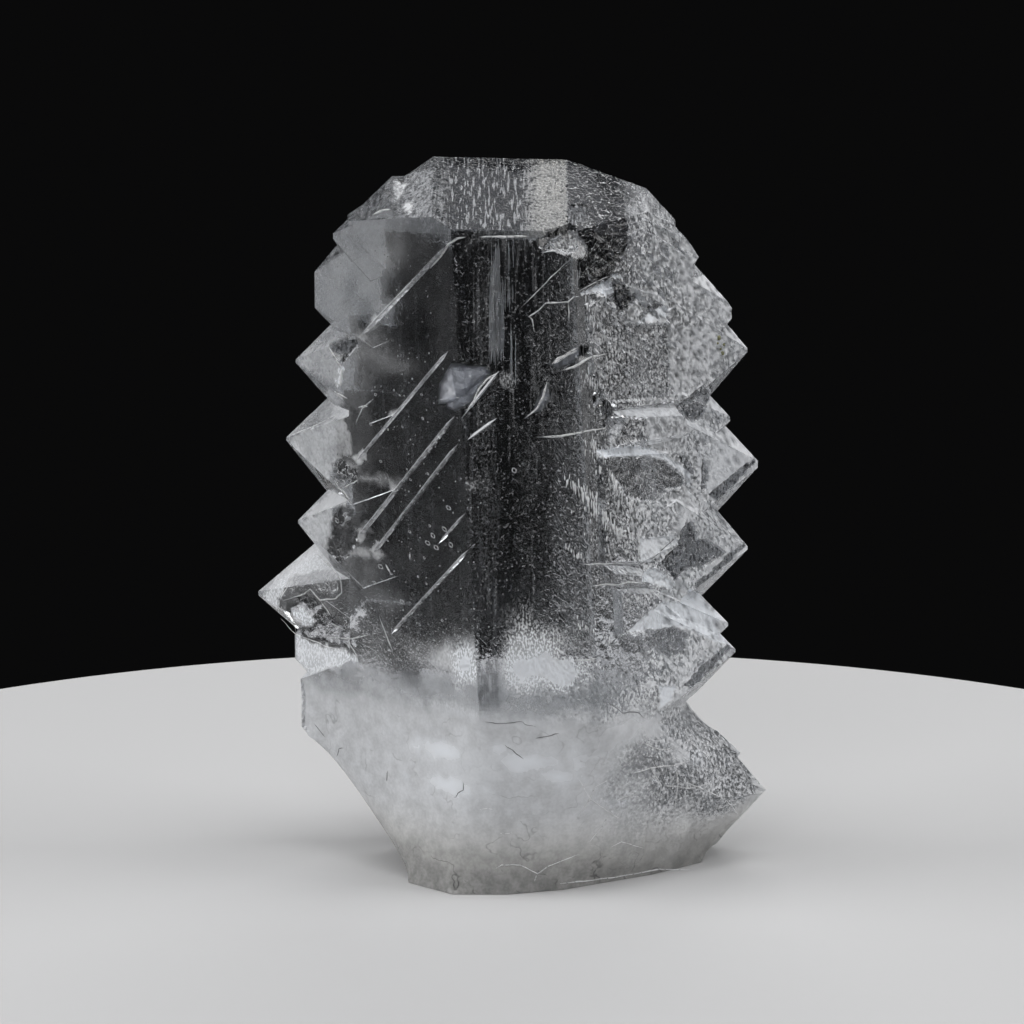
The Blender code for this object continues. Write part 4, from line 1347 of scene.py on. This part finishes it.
seams = {
    "look": {"ior": 1.45, "grainSize": 0.25, "stretch": (1, 1, 1), "cover": 0.85, "broken": 0.3,
             "color": (0.97, 0.975, 0.98), "darker": (0.72, 0.73, 0.75), "roughness": 0.35},
    "sink": 0.02,   # mm below the surface
    "uneven": 0.45,  # share by which the width varies
    "lines": (    # width in mm, then x and z of the points in mm
        (0.16, ((2.0, 54.2), (1.9, 55.3), (1.6, 55.6), (2.6, 56.3), (3.1, 56.8), (5.1, 56.9),
            (5.6, 57.4), (6.2, 57.4))),
        (0.1, ((0.8, 56.4), (3.4, 59.0), (4.5, 60.1), (5.4, 60.9))),
        (0.1, ((5.2, 56.9), (5.2, 55.3))), (0.2, ((3.5, 51.0), (4.2, 51.7), (6.2, 52.8))),
        (0.3, ((3.7, 51.2), (5.1, 52.0), (6.1, 52.5))),
        (0.22, ((4.5, 50.6), (5.6, 50.9), (6.7, 51.5), (7.3, 51.8), (8.8, 51.9))),
        (0.2, ((1.2, 46.1), (2.3, 47.1), (2.9, 48.2), (3.3, 49.8))),
        (0.2, ((2.2, 44.4), (4.4, 44.5), (6.7, 44.9), (8.5, 44.9), (8.9, 45.2))),
        (0.13, ((6.2, 32.5), (9.2, 32.3), (11.8, 31.8))),
        (0.14, ((7.3, 30.4), (9.6, 30.3), (10.8, 30.4), (12.6, 29.9))),
        (0.13, ((11.9, 35.6), (11.9, 33.8), (11.9, 31.8))),
        (0.14, ((5.6, 23.4), (7.0, 23.4), (8.1, 23.6))),
        (0.22, ((-3.1, 62.9), (-0.9, 62.9), (1.6, 62.9))),
        (0.1, ((6.1, 57.9), (7.7, 58.5), (9.1, 59.0))),
        (0.14, ((2.6, 61.5), (4.1, 61.6), (5.1, 61.0))),
        (0.24, ((-7.5, 59.8), (-6.6, 61.0), (-5.8, 62.2), (-5.0, 62.7), (-4.2, 62.9))),
        (0.16, ((-1.0, 50.6), (-2.3, 49.8), (-3.0, 48.9), (-3.6, 47.6), (-4.7, 46.1))),
        (0.12, ((-7.0, 47.5), (-6.0, 47.9), (-4.7, 48.1))), (0.07, ((-5.3, 55.1), (-4.9, 55.2))),
        (0.06, ((-4.6, 55.1), (-4.1, 55.1))), (0.08, ((-3.8, 55.0), (-3.3, 55.1))),
        (0.06, ((-3.0, 55.1), (-2.6, 55.0))),
        (0.14, ((-22.5, 25.3), (-20.3, 26.3), (-19.7, 26.9), (-18.7, 26.0), (-17.1, 26.5),
            (-16.5, 27.2), (-16.6, 28.5), (-17.6, 29.1), (-18.7, 29.6), (-19.3, 30.1))),
        (0.14, ((-22.9, 25.3), (-21.9, 27.1), (-21.8, 27.6))),
        (0.12, ((-22.9, 25.3), (-23.2, 23.6), (-22.1, 22.8), (-21.3, 22.1))),
        (0.1, ((-18.7, 25.9), (-18.0, 25.1), (-17.6, 24.6))), (0.1, ((-17.6, 23.9), (-16.0, 23.5))),
        (0.12, ((-15.8, 22.6), (-15.6, 22.3), (-15.0, 21.4))),
        (0.16, ((-17.5, 51.4), (-16.6, 50.1), (-16.1, 49.4))),
        (0.45, ((-16.1, 49.4), (-16.3, 47.7))), (0.16, ((-17.0, 47.2), (-15.6, 46.6))),
        (0.34, ((-13.0, 64.3), (-12.3, 64.6), (-11.3, 64.9))),
        (0.16, ((-16.7, 37.8), (-16.2, 37.6), (-15.2, 36.3))),
        (0.12, ((-16.2, 37.8), (-15.0, 38.5), (-14.6, 38.9))),
        (0.12, ((-14.9, 44.1), (-14.2, 45.8), (-13.0, 46.9))),
        (0.24, ((-14.6, 45.9), (-13.6, 46.1))),
        (0.1, ((-22.8, 23.5), (-21.5, 22.1), (-19.2, 21.8), (-18.1, 21.5), (-15.8, 21.5))),
        (0.12, ((-18.3, 22.5), (-16.1, 22.7), (-13.6, 23.8))),
        (0.1, ((-17.1, 38.5), (-16.4, 37.6), (-15.9, 36.7), (-15.2, 36.2))),
        (0.1, ((-12.7, 25.8), (-11.9, 23.7), (-11.4, 22.6))),
        (0.08, ((-21.4, 42.2), (-19.6, 43.1), (-17.8, 44.1), (-16.4, 44.9))),
        (0.08, ((-20.6, 33.9), (-17.8, 35.5), (-15.6, 36.4))),
        (0.08, ((-23.0, 24.3), (-23.0, 25.4), (-21.8, 27.5))), (0.16, ((-9.6, 32.6), (-9.6, 31.9))),
        (0.16, ((-12.0, 31.0), (-11.5, 30.2))),
        (0.16, ((11.0, 11.5), (13.1, 11.8), (15.4, 11.6), (17.1, 11.7))),
        (0.12, ((15.8, 11.4), (15.9, 9.6), (15.8, 7.4))),
        (0.12, ((13.6, 10.0), (17.1, 8.9), (20.2, 9.0))),
        (0.12, ((18.1, 13.1), (19.7, 10.5), (20.7, 8.0))),
        (0.12, ((12.1, 14.7), (14.1, 13.4), (16.1, 13.2))),
        (0.12, ((13.2, 11.7), (14.3, 9.8), (13.9, 7.6))),
        (0.1, ((5.9, 12.4), (7.4, 9.4), (11.0, 6.2))),
        (0.14, ((-2.4, 2.1), (-1.0, 3.0), (0.8, 2.9), (2.4, 1.9), (3.4, 2.6), (6.0, 3.5),
            (7.3, 3.5))),
        (0.1, ((2.4, 1.9), (2.1, 1.0))), (0.12, ((6.1, 7.3), (7.2, 9.0), (7.8, 10.6), (9.6, 11.5))),
        (0.12, ((7.2, 4.5), (8.5, 6.1), (9.2, 7.5))),
        (0.12, ((9.8, 8.9), (11.1, 9.2), (12.4, 8.8))),
        (0.14, ((15.5, 11.4), (16.0, 10.0), (15.8, 8.2), (15.5, 6.3))),
        (0.12, ((9.2, 3.7), (10.5, 4.2), (13.2, 2.9))),
        (0.16, ((3.4, 0.6), (6.0, 0.6), (9.9, 0.4), (14.0, 0.4), (17.4, 0.3))),
        (0.12, ((17.0, 13.7), (18.4, 12.2), (19.5, 10.8), (20.5, 9.3))),
        (0.12, ((16.0, 10.0), (18.1, 8.8), (20.5, 7.2), (22.4, 4.7))),
        (0.08, ((-4.3, 8.1), (-2.4, 8.7), (-0.5, 8.5))),
        (0.08, ((-2.4, 6.3), (-0.5, 6.2), (0.5, 6.4))),
    ),
}


def makeSeams(ground):
    bm = bmesh.new()
    for k, (width, ends) in enumerate(seams["lines"]):
        path = ground.path(ends, seams["sink"], seed=3 * k)
        addTube(bm, path, width * (1 + seams["uneven"] * smoothNoise(path, 0.9, 200 + k)))
    finishPiece("brightSeams", bm, mineralMaterial("whiteSeam", seams["look"]))


hairCracks = {
    "look": {"ior": 1.45, "grainSize": 0.3, "stretch": (1, 1, 1), "cover": 1.0, "broken": 0.2,
             "color": (0.20, 0.205, 0.21), "darker": (0.07, 0.07, 0.075), "roughness": 0.6},
    "width": 0.09,  # mm
    "uneven": 0.5,  # share by which the width varies
    "wander": 0.12,  # mm to the sides
    "lines": (    # x and z in mm
        ((8.7, 19.4), (10.4, 17.9), (12.0, 17.4), (12.8, 16.7)),
        ((-2.7, 17.4), (1.0, 17.4), (2.2, 17.0)), ((-19.5, 13.5), (-18.3, 12.4)),
        ((-17.2, 10.6), (-16.9, 11.5), (-16.4, 11.7)), ((-0.7, 15.2), (1.0, 13.8)),
        ((2.2, 15.9), (4.4, 16.4)), ((-5.6, 9.3), (-4.6, 10.2), (-4.6, 11.0)),
        ((-12.1, 9.5), (-11.9, 10.6)), ((11.7, 13.9), (13.1, 12.8), (14.3, 11.0), (14.9, 9.2)),
        ((7.8, 43.0), (8.6, 44.2), (8.9, 45.3)), ((9.0, 42.5), (9.0, 43.4)),
        ((15.2, 29.8), (16.2, 30.4), (17.2, 31.3)), ((12.9, 31.8), (14.5, 32.9), (15.8, 33.9)),
        ((10.0, 25.2), (10.7, 25.7)),
    ),
}


def makeHairCracks(ground):
    bm = bmesh.new()
    for k, ends in enumerate(hairCracks["lines"]):
        path = ground.path(ends, wander=hairCracks["wander"], seed=300 + 3 * k)
        uneven = 1 + hairCracks["uneven"] * smoothNoise(path, 0.6, 330 + k)
        addTube(bm, path, hairCracks["width"] * uneven)
    finishPiece("hairCracks", bm, mineralMaterial("darkCrack", hairCracks["look"]))


feathers = {
    "look": {"ior": 1.45, "grainSize": 0.2, "stretch": (1, 1, 3), "cover": 0.95, "broken": 0.15,
             "color": (0.98, 0.985, 1.0), "darker": (0.86, 0.87, 0.90), "roughness": 0.4},
    "seed": 11,
    "width": (0.05, 0.15),   # mm
    "lean": (-0.10, 0.16),   # share of the length
    "proud": 0.015,          # mm above the surface
    "bands": (    # strokes, spread and stroke length in mm, then x and z of the middle line
        (95, 0.75, 0.75, ((6.9, 44.2), (8.4, 41.6), (9.4, 40.1), (10.2, 38.7), (11.4, 37.2),
            (12.7, 36.2))),
        (90, 0.6, 0.85, ((5.4, 40.2), (6.7, 39.1), (8.0, 37.4), (9.2, 35.8), (10.2, 34.8))),
        (16, 0.3, 0.6, ((4.8, 34.8), (6.3, 33.2))),
        (16, 0.5, 0.55, ((6.0, 27.3), (7.3, 26.4), (9.1, 25.1))),
        (16, 0.4, 0.6, ((6.8, 56.9), (7.4, 55.1), (8.2, 54.1))),
        (18, 0.55, 0.5, ((8.4, 54.2), (9.2, 53.2), (9.7, 52.2), (9.2, 50.3))),
        (30, 0.45, 0.6, ((6.5, 50.5), (6.9, 50.0), (8.2, 48.7))),
        (14, 1.6, 0.4, ((7.0, 46.5), (7.4, 43.0))), (26, 1.6, 0.45, ((6.5, 38.0), (11.0, 29.0))),
        (20, 1.4, 0.4, ((12.0, 41.0), (13.5, 38.0))), (14, 1.2, 0.35, ((6.0, 24.0), (9.5, 21.5))),
    ),
}


def makeFeathers(ground):
    pick = np.random.default_rng(feathers["seed"])
    bm = bmesh.new()
    for count, spread, length, ends in feathers["bands"]:
        line = ground.path(ends, wander=0)
        for _ in range(count):
            x, _, z = line[pick.integers(len(line))]
            x, z = x + pick.normal(0, spread / 2), z + pick.normal(0, 0.25)
            long = length * pick.uniform(0.4, 1.2)
            lean = pick.uniform(*feathers["lean"]) * long
            ends = ((x, z + long / 2), (x + lean, z - long / 2))
            path = ground.path(ends, -feathers["proud"], 0.15, 0.02)
            addTube(bm, path, pick.uniform(*feathers["width"]), sides=4)
    finishPiece("featherStrokes", bm, mineralMaterial("whiteStroke", feathers["look"]))


threads = {
    "look": {"ior": 1.30, "grainSize": 0.14, "stretch": (1, 1, 14), "cover": 0.58, "broken": 0.3,
             "color": (0.93, 0.94, 0.96), "darker": (0.55, 0.56, 0.58), "roughness": 0.5},
    "seed": 23,
    "width": (0.04, 0.11),   # mm
    "depth": (0.5, 1.6),     # mm below the window
    "drift": (-0.006, 0.010),   # mm to the right for each mm down
    "wave": 0.05,            # mm
    "bundles": (    # fibres, x range, top and bottom z, all in mm
        (40, -1.95, -1.15, 63.0, 53.0), (70, -2.1, -0.75, 59.5, 51.0), (10, -0.75, 0.1, 59.2, 55.9),
        (5, -0.3, 0.5, 54.8, 49.0), (3, -0.5, 0.3, 62.7, 59.0), (5, 5.6, 6.0, 60.6, 57.6),
    ),
}


def makeThreads(ground):
    pick = np.random.default_rng(threads["seed"])
    bm = bmesh.new()
    for count, left, right, top, bottom in threads["bundles"]:
        for _ in range(count):
            x = pick.uniform(left, right)
            high = top - (top - bottom) * pick.uniform(0, 0.45)
            low = bottom + (high - bottom) * pick.uniform(0, 0.35)
            z = np.linspace(high, low, max(4, int((high - low) / 0.6)))
            depth = pick.uniform(*threads["depth"])
            drift = pick.uniform(*threads["drift"])
            wave = threads["wave"] * smoothNoise(z[:, None], 2.0, int(pick.integers(999)))
            y = ground.at(x, (high + low) / 2)[1] + depth
            path = np.stack([x + wave - drift * (z - high), np.full(len(z), y), z], 1)
            addTube(bm, path, pick.uniform(*threads["width"]), sides=4, ends=0.3)
    finishPiece("innerThreads", bm, mineralMaterial("fineThread", threads["look"]))


veils = {
    "look": {"ior": 1.03, "grainSize": 0.30, "stretch": (1, 1, 1.6), "cover": 0.92, "broken": 0.28,
             "color": (0.93, 0.95, 1.0), "darker": (0.60, 0.62, 0.68), "roughness": 0.5,
             "fades": True},
    "thickness": 0.04,  # mm
    "plates": (    # depth and waviness in mm, then the outline's x and z in mm
        (0.5, 0.25, ((-5.6, 51.2), (-2.3, 51.0), (-1.9, 50.2), (-3.4, 49.3), (-4.4, 48.2),
            (-5.5, 47.6), (-6.8, 47.4), (-6.7, 49.4))),
        (0.9, 0.3, ((-3.7, 49.7), (-2.1, 50.2), (-2.8, 48.9), (-3.5, 47.5), (-5.2, 46.8),
            (-6.2, 47.1), (-5.7, 48.1), (-4.6, 48.6))),
        (0.4, 0.15, ((1.8, 46.6), (2.7, 48.7), (3.4, 49.7), (3.7, 48.1), (2.8, 46.8))),
        (0.3, 0.2, ((3.3, 51.2), (6.1, 53.0), (6.5, 51.9), (5.3, 51.1), (4.2, 50.6))),
    ),
}


def makeVeils(ground):
    bm = bmesh.new()
    bm.verts.layers.float.new("fade")
    for k, (depth, bulge, outline) in enumerate(veils["plates"]):
        addPlate(bm, ground, outline, depth, bulge, veils["thickness"], seed=40 + k)
    finishPiece("innerVeils", bm, mineralMaterial("bluishVeil", veils["look"]))


growthPits = {
    "look": {"ior": 1.5, "grainSize": 0.2, "stretch": (1, 1, 1), "cover": 0.7, "broken": 0.25,
             "color": (0.90, 0.91, 0.93), "darker": (0.45, 0.46, 0.48), "roughness": 0.3},
    "seed": 31,
    "few": (
        (-6.3, 35.4), (-7.4, 34.6), (-7.9, 33.8), (-5.7, 34.0), (-5.9, 37.5), (-12.5, 30.7),
        (-10.4, 27.6), (-16.8, 34.5), (-7.1, 33.5), (0.2, 41.3),
    ),     # x and z in mm
    "size": 0.26,
    "more": 26,
    "smaller": (0.08, 0.16),
}


def makeGrowthPits(ground):
    # small rhomb-shaped rims scattered over the left face
    pick = np.random.default_rng(growthPits["seed"])
    bm = bmesh.new()
    spots = [(x, z, growthPits["size"]) for x, z in growthPits["few"]]
    for _ in range(growthPits["more"]):
        x, z = pick.uniform(-13.5, -5.8), pick.uniform(25, 48)
        spots.append((x, z, pick.uniform(*growthPits["smaller"])))
    for x, z, size in spots:
        turn, squeeze = pick.uniform(0.5, 1.0), pick.uniform(0.5, 0.75)
        cos, sin = math.cos(turn), math.sin(turn)
        path = []
        for s in range(13):
            angle = 2 * math.pi * s / 12
            # a power between 1 and 2 gives a rhomb with rounded corners
            r = abs(math.cos(angle)) ** 1.3 + abs(math.sin(angle)) ** 1.3
            r = size / r ** (1 / 1.3)
            u, v = r * math.cos(angle) * squeeze, r * math.sin(angle)
            path.append(ground.at(x + u * cos - v * sin, z + u * sin + v * cos, 0.01))
        addTube(bm, path, 0.25 * size + 0.03, sides=4, ends=0.9)
    finishPiece("growthPits", bm, mineralMaterial("pitRim", growthPits["look"]))


specks = {
    "look": {"ior": 1.4, "grainSize": 0.2, "stretch": (1, 1, 1), "cover": 0.75, "broken": 0.25,
             "color": (0.97, 0.975, 0.98), "darker": (0.70, 0.71, 0.72), "roughness": 0.4},
    "seed": 47,
    "fields": (    # how many, x range, z range and depth range in mm, largest size in mm
        (80, -13.5, -5.8, 25, 52, 0.05, 1.2, 0.1), (30, -12.0, -6.5, 40, 62, 0.3, 3.0, 0.09),
        (70, -5.4, -2.4, 22, 62, 0.3, 4.0, 0.08), (90, -2.2, 6.5, 20, 62, 0.3, 6.0, 0.08),
        (60, -1.5, 6.5, 19, 27, 0.2, 2.0, 0.11), (30, -8.0, -3.6, 20, 27, 0.2, 2.0, 0.1),
    ),
}


def makeSpecks(ground):
    # tiny bubbles and grains inside, seeded so that they stay the same
    pick = np.random.default_rng(specks["seed"])
    bm = bmesh.new()
    for count, left, right, low, high, near, far, most in specks["fields"]:
        for _ in range(count):
            x, z = pick.uniform(left, right), pick.uniform(low, high)
            size = most * pick.uniform(0.3, 1.0) ** 1.5
            spot = Vector(ground.at(x, z, pick.uniform(near, far))) * mm
            made = bmesh.ops.create_icosphere(bm, subdivisions=1, radius=size * mm)["verts"]
            stretch = pick.uniform(0.6, 1.6)
            for vert in made:
                vert.co = Vector((vert.co.x, vert.co.y, vert.co.z * stretch)) + spot
    finishPiece("brightSpecks", bm, mineralMaterial("paleSpeck", specks["look"]))


stain = {
    "look": {"ior": 1.5, "grainSize": 0.25, "stretch": (1, 1, 1), "cover": 0.95, "broken": 0.2,
             "color": (0.46, 0.46, 0.25), "darker": (0.09, 0.10, 0.06), "roughness": 0.6},
    "lumps": 0.3,
    "grains": (     # x, z and size in mm
        (19.7, 52.1, 0.22), (20.2, 51.4, 0.17), (20.1, 50.6, 0.19), (19.9, 51.0, 0.12),
        (19.6, 51.6, 0.12),
    ),
}


def makeStain(ground):
    # a few grains of green mineral on the right shoulder
    bm = bmesh.new()
    for k, (x, z, size) in enumerate(stain["grains"]):
        spot = Vector(ground.at(x, z, 0.02)) * mm
        made = bmesh.ops.create_icosphere(bm, subdivisions=2, radius=size * mm)["verts"]
        for vert in made:
            lump = smoothNoise(np.array([tuple(vert.co / mm)]), 0.15, 60 + k)[0]
            vert.co = vert.co * (1 + stain["lumps"] * lump) + spot
    finishPiece("greenGrains", bm, mineralMaterial("greenGrain", stain["look"]))


makeStudio()
front = Ground(makeCrystal())
makeSeams(front)
makeHairCracks(front)
makeFeathers(front)
makeThreads(front)
makeVeils(front)
makeGrowthPits(front)
makeSpecks(front)
makeStain(front)

print("done")
